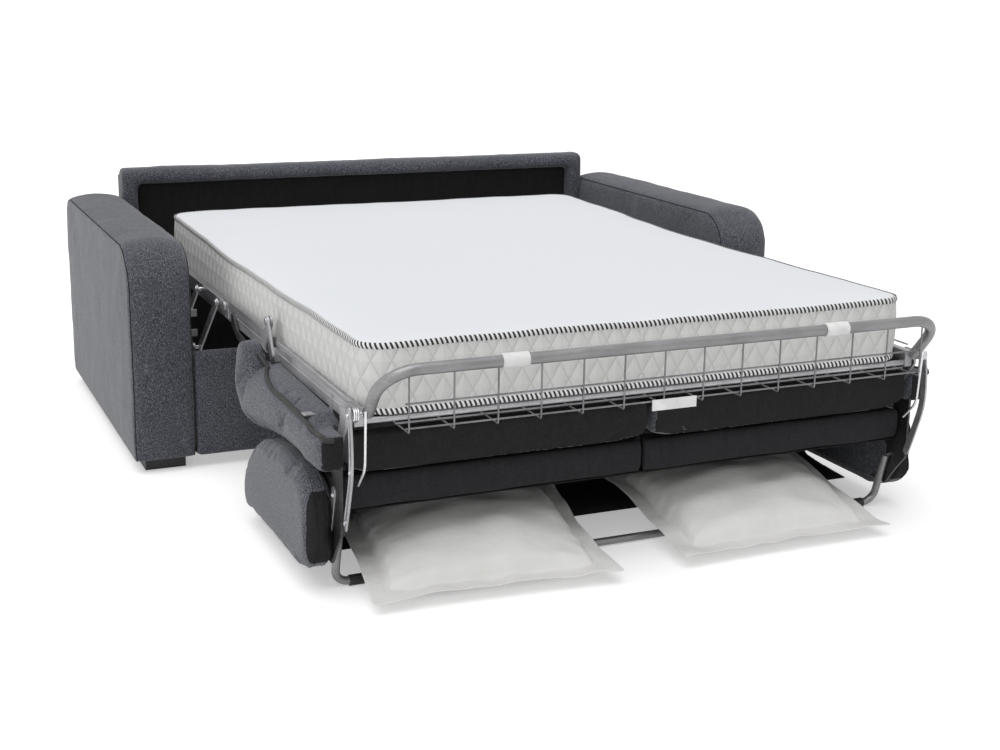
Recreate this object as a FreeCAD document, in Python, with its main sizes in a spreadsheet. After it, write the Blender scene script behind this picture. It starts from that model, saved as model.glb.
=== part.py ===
import FreeCAD
import Part
import Sketcher
import math
import os

doc = FreeCAD.newDocument("sleeper_sofa")
sheet = doc.addObject("Spreadsheet::Sheet", "sizes")
sheet_row = [0]


class Length:
    """A size that carries its number and the sheet expression that gives it."""

    def __init__(self, value, text):
        self.value = float(value)
        self.text = text

    def join(self, other, sign, value):
        right = other.text if isinstance(other, Length) else repr(float(other))
        return Length(value, f"({self.text} {sign} {right})")

    def __add__(self, other):
        return self.join(other, "+", self.value + number(other))

    def __sub__(self, other):
        return self.join(other, "-", self.value - number(other))

    def __mul__(self, other):
        return self.join(other, "*", self.value * number(other))

    def __truediv__(self, other):
        return self.join(other, "/", self.value / number(other))

    def __neg__(self):
        return Length(-self.value, f"(0 - {self.text})")


def number(thing):
    return thing.value if isinstance(thing, Length) else float(thing)


def plain(thing):
    return thing if isinstance(thing, Length) else Length(thing, repr(float(thing)))


def span(first, second):
    """Straight distance between two points of the side view."""
    dy = second[0] - first[0]
    dz = second[1] - first[1]
    value = math.hypot(dy.value, dz.value)
    return Length(value, f"sqrt({dy.text} * {dy.text} + {dz.text} * {dz.text})")


def slope(first, second):
    """Angle in degrees of the line between two points of the side view."""
    dy = second[0] - first[0]
    dz = second[1] - first[1]
    value = math.degrees(math.atan2(dz.value, dy.value))
    return Length(value, f"(atan2({dz.text}; {dy.text}) / 1 deg)")


def size(name, value):
    """Writes one driving dimension to the sheet, in millimetres or degrees."""
    sheet_row[0] += 1
    row = sheet_row[0]
    sheet.set(f"A{row}", name)
    sheet.set(f"B{row}", str(value))
    sheet.setAlias(f"B{row}", name)
    return Length(value, f"sizes.{name}")


# Overall shape
arm_width = size("arm_width", 168)
arm_depth = size("arm_depth", 1080)
arm_height = size("arm_height", 620)
arm_front_round = size("arm_front_round", 112)
arm_rear_round = size("arm_rear_round", 90)
arm_edge_round = size("arm_edge_round", 14)
padding = size("padding", 22)
base_lift = size("base_lift", 36)
board = size("board", 18)
fit_gap = size("fit_gap", 0.3)

# Fixed panels
front_panel_front = size("front_panel_front", 12)
front_panel_depth = size("front_panel_depth", 38)
front_panel_top = size("front_panel_top", 326)
front_board_depth = size("front_board_depth", 20)
back_front = size("back_front", 966)
back_depth = size("back_depth", 84)
back_top = size("back_top", 702)
back_border = size("back_border", 44)
back_recess = size("back_recess", 44)
foot_height = size("foot_height", 35.7)
foot_size = size("foot_size", 110)

# Mattress and deck
mattress_width = size("mattress_width", 1399)
mattress_rear = size("mattress_rear", 856)
mattress_front = size("mattress_front", -1048)
mattress_thick = size("mattress_thick", 157)
mattress_corner = size("mattress_corner", 70)
deck_top = size("deck_top", 421.5)
slat_thick = size("slat_thick", 12)
slat_width = size("slat_width", 54)
rail_gap = size("rail_gap", 0.5)
rail_width = size("rail_width", 20)
rail_low = size("rail_low", 405)
rail_height = size("rail_height", 40)
cross_tube_radius = size("cross_tube_radius", 11)
deck_tube_radius = size("deck_tube_radius", 7)

# Fold points in the side view, y to the rear from the front of the arms
fold_rear = size("fold_rear", 100)
fold_front = size("fold_front", -430)
fold_front_height = size("fold_front_height", 500)
head_pivot_y = size("head_pivot_y", 300)
pivot_height = size("pivot_height", 440)
strut_base_y = size("strut_base_y", 327.3)
strut_base_height = size("strut_base_height", 262.8)
back_hinge_y = size("back_hinge_y", -984)
back_hinge_height = size("back_hinge_height", 341)
guard_pivot_y = size("guard_pivot_y", -1077)
leg_pivot_y = size("leg_pivot_y", -968)
leg_pivot_height = size("leg_pivot_height", 150)

# Hinge plates, from the mattress outward
link_eye_set = size("link_eye_set", 40)
link_eye_height = size("link_eye_height", 352)
plate_thick = size("plate_thick", 6)
plate_step = size("plate_step", 9)
first_plate_gap = size("first_plate_gap", 3)
side_plate_gap = size("side_plate_gap", 2)
plate_width = size("plate_width", 26)
strut_width = size("strut_width", 24)
pin_radius = size("pin_radius", 5)
pin_head_radius = size("pin_head_radius", 8.5)
pin_head_thick = size("pin_head_thick", 2.4)

# Seat cushions
side_gap = size("side_gap", 22)
cushion_split = size("cushion_split", 3)
cushion_top = size("cushion_top", 395)
cushion_front = size("cushion_front", -380)
cushion_rear = size("cushion_rear", -1020)
cushion_crown = size("cushion_crown", 265)
cushion_rear_crown = size("cushion_rear_crown", 318)
lip_top = size("lip_top", 420)
lip_depth = size("lip_depth", 60)
hook_top = size("hook_top", 452)

# Folded back unit
wing_thick = size("wing_thick", 54)
wing_tip = size("wing_tip", -410)
wing_low = size("wing_low", 32)
wing_top = size("wing_top", 285)
wing_end = size("wing_end", -1000)
band_low = size("band_low", 203)
pocket_wall_y = size("pocket_wall_y", -600)

# Guard rail, basket and leg frame
guard_radius = size("guard_radius", 13)
guard_reach = size("guard_reach", 145)
guard_tilt = size("guard_tilt", 130)
guard_bend = size("guard_bend", 80)
clip_width = size("clip_width", 60)
clip_wall = size("clip_wall", 3)
wire_radius = size("wire_radius", 2)
wire_pitch = size("wire_pitch", 99)
basket_low = size("basket_low", 415)
basket_depth = size("basket_depth", 96)
basket_middle = size("basket_middle", 64)
wire_bend = size("wire_bend", 6)
leg_tube_radius = size("leg_tube_radius", 9.5)
leg_gap = size("leg_gap", 0.5)
leg_bend = size("leg_bend", 34)
leg_drop = size("leg_drop", 143)
leg_tilt = size("leg_tilt", -74)
sleeve_radius = size("sleeve_radius", 12.5)
sleeve_length = size("sleeve_length", 60)

# Pillows
pillow_width = size("pillow_width", 585)
pillow_length = size("pillow_length", 420)
pillow_thick = size("pillow_thick", 96)
pillow_front = size("pillow_front", -1115)
pillow_left = size("pillow_left", -394)
pillow_right = size("pillow_right", 337)

# Widths, worked outward from the mattress to the arms
rail_inner = mattress_width / 2 + rail_gap
rail_outer = rail_inner + rail_width
lane = [rail_outer + first_plate_gap + plate_step * index for index in range(5)]
wing_inner = lane[1] + plate_thick + side_plate_gap + plate_thick
cushion_side = wing_inner + wing_thick
inner_half = cushion_side + side_gap
guard_half_width = rail_inner
leg_half_width = wing_inner - plate_thick - leg_gap - leg_tube_radius

# Worked-out places
guard_front = guard_pivot_y.value + guard_reach.value * math.cos(math.radians(guard_tilt.value))
guard_front_text = f"({guard_pivot_y.text} + {guard_reach.text} * cos({guard_tilt.text} * 1 deg))"
front_most = Length(guard_front, guard_front_text) - guard_radius - clip_wall
shift_y = -(front_most + arm_depth) / 2
fold_1 = (fold_rear, pivot_height)
fold_2 = (fold_front, fold_front_height)
head_pivot = (head_pivot_y, pivot_height)
strut_foot = (strut_base_y, strut_base_height)
rear_strut_foot = (strut_base_y + head_pivot_y - fold_rear, strut_base_height)
back_hinge = (back_hinge_y, back_hinge_height)
guard_pivot = (guard_pivot_y, pivot_height)
leg_pivot = (leg_pivot_y, leg_pivot_height)

nodes = []


def keep(thing, label):
    """Marks an object of the document as a finished sub-part."""
    thing.Label = label
    nodes.append(thing)
    return thing


def place(thing, x=0, y=0, z=0, turn=None, axis=(1, 0, 0)):
    """Puts an object in the sofa, with each coordinate bound to the sheet."""
    x, y, z = plain(x), plain(y) + shift_y, plain(z)
    angle = 0 if turn is None else number(turn)
    spot = FreeCAD.Vector(x.value, y.value, z.value)
    thing.Placement = FreeCAD.Placement(spot, FreeCAD.Rotation(FreeCAD.Vector(*axis), angle))
    thing.setExpression("Placement.Base.x", x.text)
    thing.setExpression("Placement.Base.y", y.text)
    thing.setExpression("Placement.Base.z", z.text)
    if isinstance(turn, Length):
        thing.setExpression("Placement.Rotation.Angle", turn.text)
    return thing


def fixed_point(sketch, index, corner, point):
    """Ties one end of a sketch element to its distances from the sketch origin."""
    for kind, value in (("DistanceX", point[0]), ("DistanceY", point[1])):
        value = plain(value)
        constraint = Sketcher.Constraint(kind, -1, 1, index, corner, value.value)
        at = sketch.addConstraint(constraint)
        sketch.setExpression(f"Constraints[{at}]", value.text)


def new_sketch(body, plane):
    sketch = body.newObject("Sketcher::SketchObject", body.Name + "_sketch")
    origin = [item for item in body.Origin.OriginFeatures if item.Role == plane][0]
    sketch.AttachmentSupport = [(origin, "")]
    sketch.MapMode = "FlatFace"
    return sketch


def split_half_circles(points, closed):
    """Puts a point at the top of each half circle, so that every arc is under 180 degrees."""
    result = []
    for side, point in enumerate(points):
        result.append(point)
        if len(point) == 2 or (not closed and side == len(points) - 1):
            continue
        following = points[(side + 1) % len(points)]
        first = [plain(value) for value in point[:2]]
        second = [plain(value) for value in following[:2]]
        half_y = (second[0] - first[0]) / 2
        half_z = (second[1] - first[1]) / 2
        if abs(math.hypot(half_y.value, half_z.value) - abs(number(point[2]))) < 1e-6:
            result.append((first[0] + half_y + half_z, first[1] + half_z - half_y, point[2]))
    return result


def draw_outline(sketch, points, closed=True):
    """Draws straight sides, and an arc where a point carries a third value, its radius."""
    points = split_half_circles(points, closed)
    count = len(points)
    sides = count if closed else count - 1
    for side in range(sides):
        first = [number(value) for value in points[side][:2]]
        second = [number(value) for value in points[(side + 1) % count][:2]]
        start = FreeCAD.Vector(first[0], first[1], 0)
        end = FreeCAD.Vector(second[0], second[1], 0)
        if len(points[side]) == 2:
            index = sketch.addGeometry(Part.LineSegment(start, end), False)
            fixed_point(sketch, index, 1, points[side][:2])
            fixed_point(sketch, index, 2, points[(side + 1) % count][:2])
            continue
        radius = plain(points[side][2])
        bow = abs(radius.value)
        half = (end - start) / 2
        middle = start + half
        normal = FreeCAD.Vector(half.y, -half.x, 0).normalize()
        depth = math.sqrt(max(bow ** 2 - half.Length ** 2, 0))
        outward = radius.value > 0
        through = middle + normal * (bow - depth) * (1 if outward else -1)
        ends = (start, end) if outward else (end, start)
        corners = (1, 2) if outward else (2, 1)
        index = sketch.addGeometry(Part.Arc(ends[0], through, ends[1]), False)
        fixed_point(sketch, index, corners[0], points[side][:2])
        fixed_point(sketch, index, corners[1], points[(side + 1) % count][:2])
        at = sketch.addConstraint(Sketcher.Constraint("Radius", index, bow))
        sketch.setExpression(f"Constraints[{at}]", radius.text if outward else (-radius).text)


def draw_circle(sketch, centre, radius):
    radius = plain(radius)
    spot = FreeCAD.Vector(number(centre[0]), number(centre[1]), 0)
    circle = Part.Circle(spot, FreeCAD.Vector(0, 0, 1), radius.value)
    index = sketch.addGeometry(circle, False)
    fixed_point(sketch, index, 3, centre)
    at = sketch.addConstraint(Sketcher.Constraint("Radius", index, radius.value))
    sketch.setExpression(f"Constraints[{at}]", radius.text)


def pad(label, start_x, thick, outline=None, holes=(), disc=None):
    """A side-view outline or disc, given its thickness along x from start_x."""
    body = doc.addObject("PartDesign::Body", label)
    sketch = new_sketch(body, "YZ_Plane")
    if disc is not None:
        draw_circle(sketch, disc[:2], disc[2])
    else:
        draw_outline(sketch, outline)
    for hole in holes:
        draw_circle(sketch, hole[:2], hole[2])
    feature = body.newObject("PartDesign::Pad", label + "_pad")
    feature.Profile = sketch
    thick = plain(thick)
    feature.Length = thick.value
    feature.setExpression("Length", thick.text)
    sketch.Visibility = False
    return place(body, start_x)


def round_off(body, radius, chosen):
    """Rounds the edges of a body that the chosen test picks, in the body's own frame."""
    doc.recompute()
    base = body.Tip
    names = []
    for index, edge in enumerate(base.Shape.Edges, 1):
        if chosen(edge):
            names.append(f"Edge{index}")
    feature = body.newObject("PartDesign::Fillet", body.Name + "_round")
    feature.Base = (base, names)
    feature.Radius = radius.value
    feature.setExpression("Radius", radius.text)
    return body


def box(label, low, high):
    """A plain block between two corners."""
    block = doc.addObject("Part::Box", label)
    for name, index in (("Length", 0), ("Width", 1), ("Height", 2)):
        extent = plain(high[index]) - low[index]
        setattr(block, name, extent.value)
        block.setExpression(name, extent.text)
    return place(block, *low)


def bar(label, spot, length, radius, axis="x", turn=None):
    """A round bar that starts at spot and runs along x, y or z."""
    rod = doc.addObject("Part::Cylinder", label)
    length, radius = plain(length), plain(radius)
    rod.Radius = radius.value
    rod.setExpression("Radius", radius.text)
    rod.Height = length.value
    rod.setExpression("Height", length.text)
    if axis == "x":
        return place(rod, *spot, turn=90, axis=(0, 1, 0))
    if axis == "y":
        return place(rod, *spot, turn=-90, axis=(1, 0, 0))
    return place(rod, *spot, turn=turn, axis=(1, 0, 0))


def cut(label, base, tools):
    result = doc.addObject("Part::Cut", label)
    result.Base = base
    result.Tool = tools[0] if len(tools) == 1 else fuse(label + "_tools", tools)
    return result


def fuse(label, shapes):
    result = doc.addObject("Part::MultiFuse", label)
    result.Shapes = shapes
    return result


def group(label, shapes):
    """Several separate solids of one kind, kept in one node."""
    result = doc.addObject("Part::Compound", label)
    result.Links = shapes
    return keep(result, label)


def sides():
    """Left and right, with the sign of x."""
    return (("left", -1), ("right", 1))


def lane_start(side, start, thick):
    """Lower x of a plate that lies at start on the given side."""
    return start if side > 0 else -(plain(start) + thick)


def link(label, side, start_x, thick, first, second, width, hole_at=(True, True)):
    """A flat bar with round ends between two pivots of the side view."""
    body = doc.addObject("PartDesign::Body", label)
    sketch = new_sketch(body, "YZ_Plane")
    length = span(first, second)
    half = width / 2
    outline = [(0, -half), (length, -half, half), (length, half), (0, half, half)]
    draw_outline(sketch, outline)
    hole = pin_radius + fit_gap
    if hole_at[0]:
        draw_circle(sketch, (0, 0), hole)
    if hole_at[1]:
        draw_circle(sketch, (length, 0), hole)
    feature = body.newObject("PartDesign::Pad", label + "_pad")
    feature.Profile = sketch
    feature.Length = plain(thick).value
    feature.setExpression("Length", plain(thick).text)
    start = lane_start(side, start_x, thick)
    return place(body, start, first[0], first[1], turn=slope(first, second))


def pins(label, spots):
    """Riveted pins on both sides: a shank from its root plate, and a flat head past its tip."""
    shapes = []
    for count, (spot, root, tip) in enumerate(spots, 1):
        root, tip = plain(root), plain(tip)
        outward = tip.value > root.value
        low, length = (root, tip - root) if outward else (tip, root - tip)
        head_low = tip if outward else tip - pin_head_thick
        for name, side in sides():
            tag = f"{label}_{name}_{count}"
            shank = bar(tag + "_shank", (lane_start(side, low, length), *spot), length, pin_radius)
            head_x = lane_start(side, head_low, pin_head_thick)
            head = bar(tag + "_head", (head_x, *spot), pin_head_thick, pin_head_radius)
            shapes.append(fuse(tag, [shank, head]))
    return group(label, shapes)


# Arms
def arm(name, side):
    start = lane_start(side, inner_half, arm_width)
    top = arm_height
    outline = [
        (0, base_lift),
        (arm_depth, base_lift),
        (arm_depth, top - arm_rear_round, arm_rear_round),
        (arm_depth - arm_rear_round, top),
        (arm_front_round, top, arm_front_round),
        (0, top - arm_front_round),
    ]
    body = pad(f"arm_body_{name}", start, arm_width, outline)

    def outer_edge(edge):
        in_side_plane = edge.BoundBox.XLength < 0.01
        return in_side_plane and edge.BoundBox.ZMax > base_lift.value + 1

    round_off(body, arm_edge_round, outer_edge)
    inner = padding / 2
    frame_x = start + inner if side > 0 else start + padding
    frame_width = arm_width - padding - inner
    low = (frame_x, padding, base_lift)
    high = (frame_x + frame_width, arm_depth - padding, top - padding * 3)
    core = box(f"arm_core_{name}", low, high)
    post = padding * 2
    windows = []
    middle = arm_depth / 2
    spans = ((low[1] + post, middle - post / 2), (middle + post / 2, high[1] - post))
    for index, (y0, y1) in enumerate(spans):
        corner = (frame_x - 1, y0, base_lift + post)
        opposite = (frame_x + frame_width + 1, y1, high[2] - post)
        windows.append(box(f"arm_window_{name}_{index}", corner, opposite))
    keep(cut(f"arm_frame_{name}", core, windows), f"arm_frame_{name}")
    gap = fit_gap
    hollow_low = (low[0] - gap, low[1] - gap, base_lift - 1)
    hollow_high = (high[0] + gap, high[1] + gap, high[2] + gap)
    hollow = box(f"arm_hollow_{name}", hollow_low, hollow_high)
    keep(cut(f"arm_cover_{name}", body, [hollow]), f"arm_cover_{name}")


for side_name, side_sign in sides():
    arm(side_name, side_sign)


# Feet
foot_shapes = []
for side_name, side_sign in sides():
    foot_x = lane_start(side_sign, inner_half + 26, foot_size)
    for place_name, foot_y in (("front", plain(40)), ("rear", arm_depth - 40 - foot_size)):
        corner = (foot_x, foot_y, 0)
        opposite = (foot_x + foot_size, foot_y + foot_size, foot_height)
        foot_shapes.append(box(f"foot_{place_name}_{side_name}", corner, opposite))
group("feet", foot_shapes)

# Front base panel
panel_half = inner_half - fit_gap
panel_low = base_lift + 5
panel_back = front_panel_front + front_panel_depth
panel_round = front_panel_depth / 2
panel_outline = [
    (front_panel_front, panel_low),
    (panel_back, panel_low),
    (panel_back, front_panel_top - panel_round, panel_round),
    (front_panel_front, front_panel_top - panel_round),
]
panel_body = pad("front_panel_body", -panel_half, panel_half * 2, panel_outline)
board_front = front_panel_front + (front_panel_depth - front_board_depth) / 2
board_low = (-panel_half, board_front, panel_low)
board_high = (panel_half, board_front + front_board_depth, front_panel_top - panel_round)
keep(box("front_panel_board", board_low, board_high), "front_panel_board")
slot_low = (-panel_half - 1, board_front - fit_gap, panel_low - 1)
slot_high = (panel_half + 1, board_front + front_board_depth + fit_gap, board_high[2] + fit_gap)
panel_slot = box("front_panel_slot", slot_low, slot_high)
keep(cut("front_panel_cover", panel_body, [panel_slot]), "front_panel_cover")

# Fixed back panel
back_rear = back_front + back_depth
back_half = inner_half - fit_gap
border_outline = [
    (back_front, base_lift),
    (back_rear, base_lift),
    (back_rear, back_top - 20, 20),
    (back_rear - 20, back_top),
    (back_front + 20, back_top, 20),
    (back_front, back_top - 20),
]
border_body = pad("back_border_body", -back_half, back_half * 2, border_outline)
opening_low = (-back_half + back_border, back_front - 1, base_lift - 1)
opening_high = (back_half - back_border, back_rear + 1, back_top - back_border)
keep(cut("back_border_pad", border_body, [box("back_opening", opening_low, opening_high)]), "back_border_pad")
lining_low = (opening_low[0] + fit_gap, back_front + back_recess, base_lift)
lining_high = (opening_high[0] - fit_gap, back_rear, opening_high[2] - fit_gap)
keep(box("back_lining_panel", lining_low, lining_high), "back_lining_panel")
rear_board_high = (back_half, back_rear + board, back_top - 24)
rear_board = box("back_rear_board", (-back_half, back_rear, base_lift), rear_board_high)
keep(rear_board, "back_rear_board")


# Mechanism carriers inside the base
carriers = []
ladders = []
carrier_x = lane[2] + plate_step
carrier_low = base_lift + 20
ear = plate_width
for side_name, side_sign in sides():
    ear_top = strut_base_height + ear / 2
    first_y, second_y = strut_foot[0], rear_strut_foot[0]
    outline = [
        (first_y - ear * 3, carrier_low),
        (second_y + ear, carrier_low),
        (second_y + ear, carrier_low + ear),
        (second_y + ear / 2, strut_base_height, ear / 2),
        (second_y - ear / 2, strut_base_height),
        (second_y - ear, carrier_low + ear),
        (first_y + ear, carrier_low + ear),
        (first_y + ear / 2, strut_base_height, ear / 2),
        (first_y - ear / 2, strut_base_height),
        (first_y - ear, carrier_low + ear),
        (first_y - ear * 3, carrier_low + ear),
    ]
    start = lane_start(side_sign, carrier_x, plate_thick)
    carriers.append(pad(f"strut_carrier_{side_name}", start, plate_thick, outline))

    ladder_in = carrier_x + plate_thick
    ladder_out = inner_half
    ladder_y = strut_foot[0] - ear * 3 + plate_thick
    ladder_x = lane_start(side_sign, ladder_in, ladder_out - ladder_in)
    ladder_end = ladder_x + ladder_out - ladder_in
    pieces = []
    rungs = ((front_panel_top + 44, 20), (front_panel_top - 14, 20), (carrier_low, 26))
    for index, (low_z, tall) in enumerate(rungs):
        low = (ladder_x, ladder_y, low_z)
        high = (ladder_end, ladder_y + plate_thick, low_z + tall)
        pieces.append(box(f"rung_{side_name}_{index}", low, high))
    post_x = lane_start(side_sign, ladder_in + 22, 18)
    post_low = (post_x, ladder_y, carrier_low)
    post_high = (post_x + 18, ladder_y + plate_thick, front_panel_top + 64)
    pieces.append(box(f"ladder_post_{side_name}", post_low, post_high))
    ladders.append(fuse(f"base_ladder_{side_name}", pieces))
group("strut_carriers", carriers)
group("base_ladders", ladders)

base_tubes = []
for index, foot_point in enumerate((strut_foot, rear_strut_foot)):
    tube_y = foot_point[0]
    spot = (-carrier_x, tube_y, carrier_low + ear / 2)
    base_tubes.append(bar(f"base_cross_tube_{index}", spot, carrier_x * 2, cross_tube_radius))
group("base_cross_tubes", base_tubes)
side_rails = []
for side_name, side_sign in sides():
    rail_x = lane_start(side_sign, inner_half - plate_thick, plate_thick)
    low = (rail_x, panel_back + 30, carrier_low + 30)
    high = (rail_x + plate_thick, back_front - 1, carrier_low + 70)
    side_rails.append(box(f"base_side_rail_{side_name}", low, high))
group("base_side_rails", side_rails)

front_strut_x = lane[1]
rear_strut_x = lane[2]
strut_thick = plate_thick - 1
base_pins = [
    (strut_foot, carrier_x, front_strut_x - fit_gap),
    (rear_strut_foot, carrier_x, rear_strut_x - fit_gap),
]
pins("base_pivot_pins", base_pins)

# Struts that carry the middle section
strut_ends = (
    (strut_foot, fold_1, "front", front_strut_x),
    (rear_strut_foot, head_pivot, "rear", rear_strut_x),
)
for foot_point, head_point, strut_name, strut_x in strut_ends:
    for side_name, side_sign in sides():
        label = f"{strut_name}_strut_{side_name}"
        keep(link(label, side_sign, strut_x, strut_thick, foot_point, head_point, strut_width), label)


# Deck sections
def section(name, y0, y1, slat_count, spacers=()):
    """Two side rails joined by cross tubes, with spacers for plates, and the slats between them."""
    pieces = []
    for index, (spacer_y, depth, reach) in enumerate(spacers):
        for side_name, side_sign in sides():
            spacer_x = lane_start(side_sign, rail_outer - 2, reach + 2)
            low = (spacer_x, spacer_y, rail_low + 6)
            high = (spacer_x + reach + 2, plain(spacer_y) + depth, rail_low + rail_height - 6)
            pieces.append(box(f"{name}_spacer_{side_name}_{index}", low, high))
    for side_name, side_sign in sides():
        rail_x = lane_start(side_sign, rail_inner, rail_width)
        low = (rail_x, y0, rail_low)
        pieces.append(box(f"{name}_rail_{side_name}", low, (rail_x + rail_width, y1, rail_low + rail_height)))
    tube_z = deck_top - deck_tube_radius - 1
    for index, tube_y in enumerate((plain(y0) + deck_tube_radius + 3, plain(y1) - deck_tube_radius - 3)):
        spot = (-rail_inner - 2, tube_y, tube_z)
        pieces.append(bar(f"{name}_tube_{index}", spot, rail_inner * 2 + 4, deck_tube_radius))
    keep(fuse(f"{name}_frame", pieces), f"{name}_frame")
    slats = []
    slat_margin = deck_tube_radius * 2 + 8
    pitch = (plain(y1) - y0 - slat_width - slat_margin * 2) / (slat_count - 1)
    for index in range(slat_count):
        slat_y = plain(y0) + slat_margin + pitch * index
        low = (-rail_inner, slat_y, deck_top - slat_thick - 0.3)
        slats.append(box(f"{name}_slat_{index}", low, (rail_inner, slat_y + slat_width, deck_top - 0.3)))
    group(f"{name}_slats", slats)


head_rear = mattress_rear - 16
foot_front = mattress_front - 2
inner_plate_reach = lane[0] - rail_outer
outer_plate_reach = lane[1] - rail_outer
middle_spacers = (
    (fold_front + 60, 34, inner_plate_reach),
    (fold_rear - 163, 22, inner_plate_reach),
    (fold_rear - 80, 60, inner_plate_reach),
)
foot_spacers = ((fold_front - 54, 34, outer_plate_reach), (foot_front + 24, 20, outer_plate_reach))
section("head", fold_rear + 2, head_rear, 7)
section("middle", fold_front + 58, fold_rear - 16, 5, middle_spacers)
section("foot", foot_front, fold_front - 20, 6, foot_spacers)

# Hinge plates between the deck sections
plate_root_height = rail_low + rail_height / 2
middle_root = (fold_front + 77, plate_root_height)
foot_root = (fold_front - 37, plate_root_height)
extension_root = (fold_rear - 50, pivot_height)
plate_pairs = (
    ("middle_hinge_plates", lane[0], middle_root, fold_2, False),
    ("foot_hinge_plates", lane[1], foot_root, fold_2, True),
    ("middle_extensions", lane[0], extension_root, head_pivot, True),
)
for label, plate_x, root, tip, has_hole in plate_pairs:
    pair = []
    for side_name, side_sign in sides():
        tag = f"{label}_{side_name}"
        pair.append(link(tag, side_sign, plate_x, plate_thick, root, tip, plate_width, (False, has_hole)))
    group(label, pair)
plate_0_out = lane[0] + plate_thick
plate_1_out = lane[1] + plate_thick
front_strut_out = front_strut_x + strut_thick
rear_strut_out = rear_strut_x + strut_thick
middle_pins = [(fold_2, plate_0_out, plate_1_out + fit_gap), (fold_1, plate_0_out, front_strut_out + fit_gap)]
pins("middle_hinge_pins", middle_pins)
pins("head_hinge_pins", [(head_pivot, rail_outer, rear_strut_out + fit_gap)])

# Brackets at the foot end: one for the folding back, one for the guard rail
bracket_half = plate_width / 2
pair = []
for side_name, side_sign in sides():
    outline = [
        (foot_front + 4, rail_low + 4),
        (back_hinge_y - bracket_half, back_hinge_height, bracket_half),
        (back_hinge_y + bracket_half, back_hinge_height),
        (foot_front + 44, rail_low + 4),
        (foot_front + 44, rail_low + rail_height - 2),
        (foot_front + 4, rail_low + rail_height - 2),
    ]
    start = lane_start(side_sign, lane[1], plate_thick)
    hole = [(back_hinge_y, back_hinge_height, pin_radius + fit_gap)]
    pair.append(pad(f"back_hinge_bracket_{side_name}", start, plate_thick, outline, hole))
group("back_hinge_brackets", pair)
guard_root = (foot_front + 11, pivot_height - 8)
guard_plate = plate_thick - 2
pair = []
for side_name, side_sign in sides():
    tag = f"guard_bracket_{side_name}"
    narrow = plate_width - 4
    bracket = link(tag, side_sign, rail_outer, guard_plate, guard_root, guard_pivot, narrow, (False, True))
    pair.append(bracket)
group("guard_brackets", pair)

# Side bars and link bars of the middle section, and the strips that hold the seat
side_bars = []
link_bars = []
seat_strips = []
for side_name, side_sign in sides():
    bar_thick = inner_plate_reach - 0.4
    bar_x = lane_start(side_sign, rail_outer, bar_thick)
    low = (bar_x, fold_front + 70, rail_low + 36)
    high = (bar_x + bar_thick, fold_rear - 30, rail_low + 57)
    side_bars.append(box(f"side_bar_{side_name}", low, high))
    eye_y = fold_front + link_eye_set
    outline = [
        (eye_y - 10, link_eye_height - 7),
        (eye_y + 8, link_eye_height - 7),
        (fold_rear - 195, rail_low - 22),
        (fold_rear - 140, rail_low + 3),
        (fold_rear - 140, rail_low + 32),
        (fold_rear - 164, rail_low + 32),
        (fold_rear - 200, rail_low - 3),
        (eye_y - 8, link_eye_height + 11),
    ]
    start = lane_start(side_sign, lane[0], plate_thick)
    link_bars.append(pad(f"link_bar_{side_name}", start, plate_thick, outline))
    strip_length = cushion_side - 16 - rail_outer
    strip_x = lane_start(side_sign, rail_outer, strip_length)
    tab_x = lane_start(side_sign, rail_outer, 2)
    low = (strip_x, foot_front + 146, cushion_top + fit_gap)
    high = (strip_x + strip_length, foot_front + 170, cushion_top + 3)
    strip = box(f"seat_strip_flat_{side_name}", low, high)
    low = (tab_x, foot_front + 146, cushion_top + 2)
    tab = box(f"seat_strip_tab_{side_name}", low, (tab_x + 2, foot_front + 170, rail_low + rail_height - 8))
    seat_strips.append(fuse(f"seat_strip_{side_name}", [strip, tab]))
group("middle_side_bars", side_bars)
group("middle_link_bars", link_bars)
group("seat_strips", seat_strips)


# Seat cushions and their board, under the foot section while the bed is open
cushion_outline = [
    (cushion_rear, cushion_rear_crown + 24, 24),
    (cushion_rear + 24, cushion_rear_crown),
    (cushion_rear + 122, cushion_rear_crown + 2),
    (cushion_front - 354, cushion_rear_crown - 17),
    (cushion_front - 125, cushion_crown, 420),
    (cushion_front - 50, cushion_crown, 52),
    (cushion_front, cushion_crown + 52),
    (cushion_front, lip_top),
    (cushion_front - lip_depth, lip_top),
    (cushion_front - lip_depth, cushion_top),
    (cushion_rear, cushion_top),
]
notch_low = lane[0]
notch_high = lane[3]
for side_name, side_sign in sides():
    start = lane_start(side_sign, cushion_split, cushion_side - cushion_split)
    body = pad(f"cushion_body_{side_name}", start, cushion_side - cushion_split, cushion_outline)
    hook_x = lane_start(side_sign, notch_high, cushion_side - notch_high)
    hook_low = (hook_x, cushion_front - lip_depth - 20, cushion_top - 1)
    hook_high = (hook_x + cushion_side - notch_high, cushion_front, hook_top)
    hook = box(f"cushion_hook_{side_name}", hook_low, hook_high)
    notch_x = lane_start(side_sign, notch_low, notch_high - notch_low)
    low = (notch_x, cushion_rear - 1, cushion_rear_crown - 10)
    high = (notch_x + notch_high - notch_low, back_hinge_y + 34, cushion_top + 1)
    notch = box(f"cushion_notch_{side_name}", low, high)
    low = (notch_x, fold_front - 6, link_eye_height - 24)
    link_notch = box(f"link_notch_{side_name}", low, (high[0], cushion_front + 1, hook_top + 1))
    whole = fuse(f"cushion_whole_{side_name}", [body, hook])
    keep(cut(f"seat_cushion_{side_name}", whole, [notch, link_notch]), f"seat_cushion_{side_name}")
board_low = (-rail_outer + 1, foot_front + 10, cushion_top + fit_gap)
board_high = (rail_outer - 1, fold_front - 24, rail_low - fit_gap)
keep(box("seat_base_board", board_low, board_high), "seat_base_board")

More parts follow.
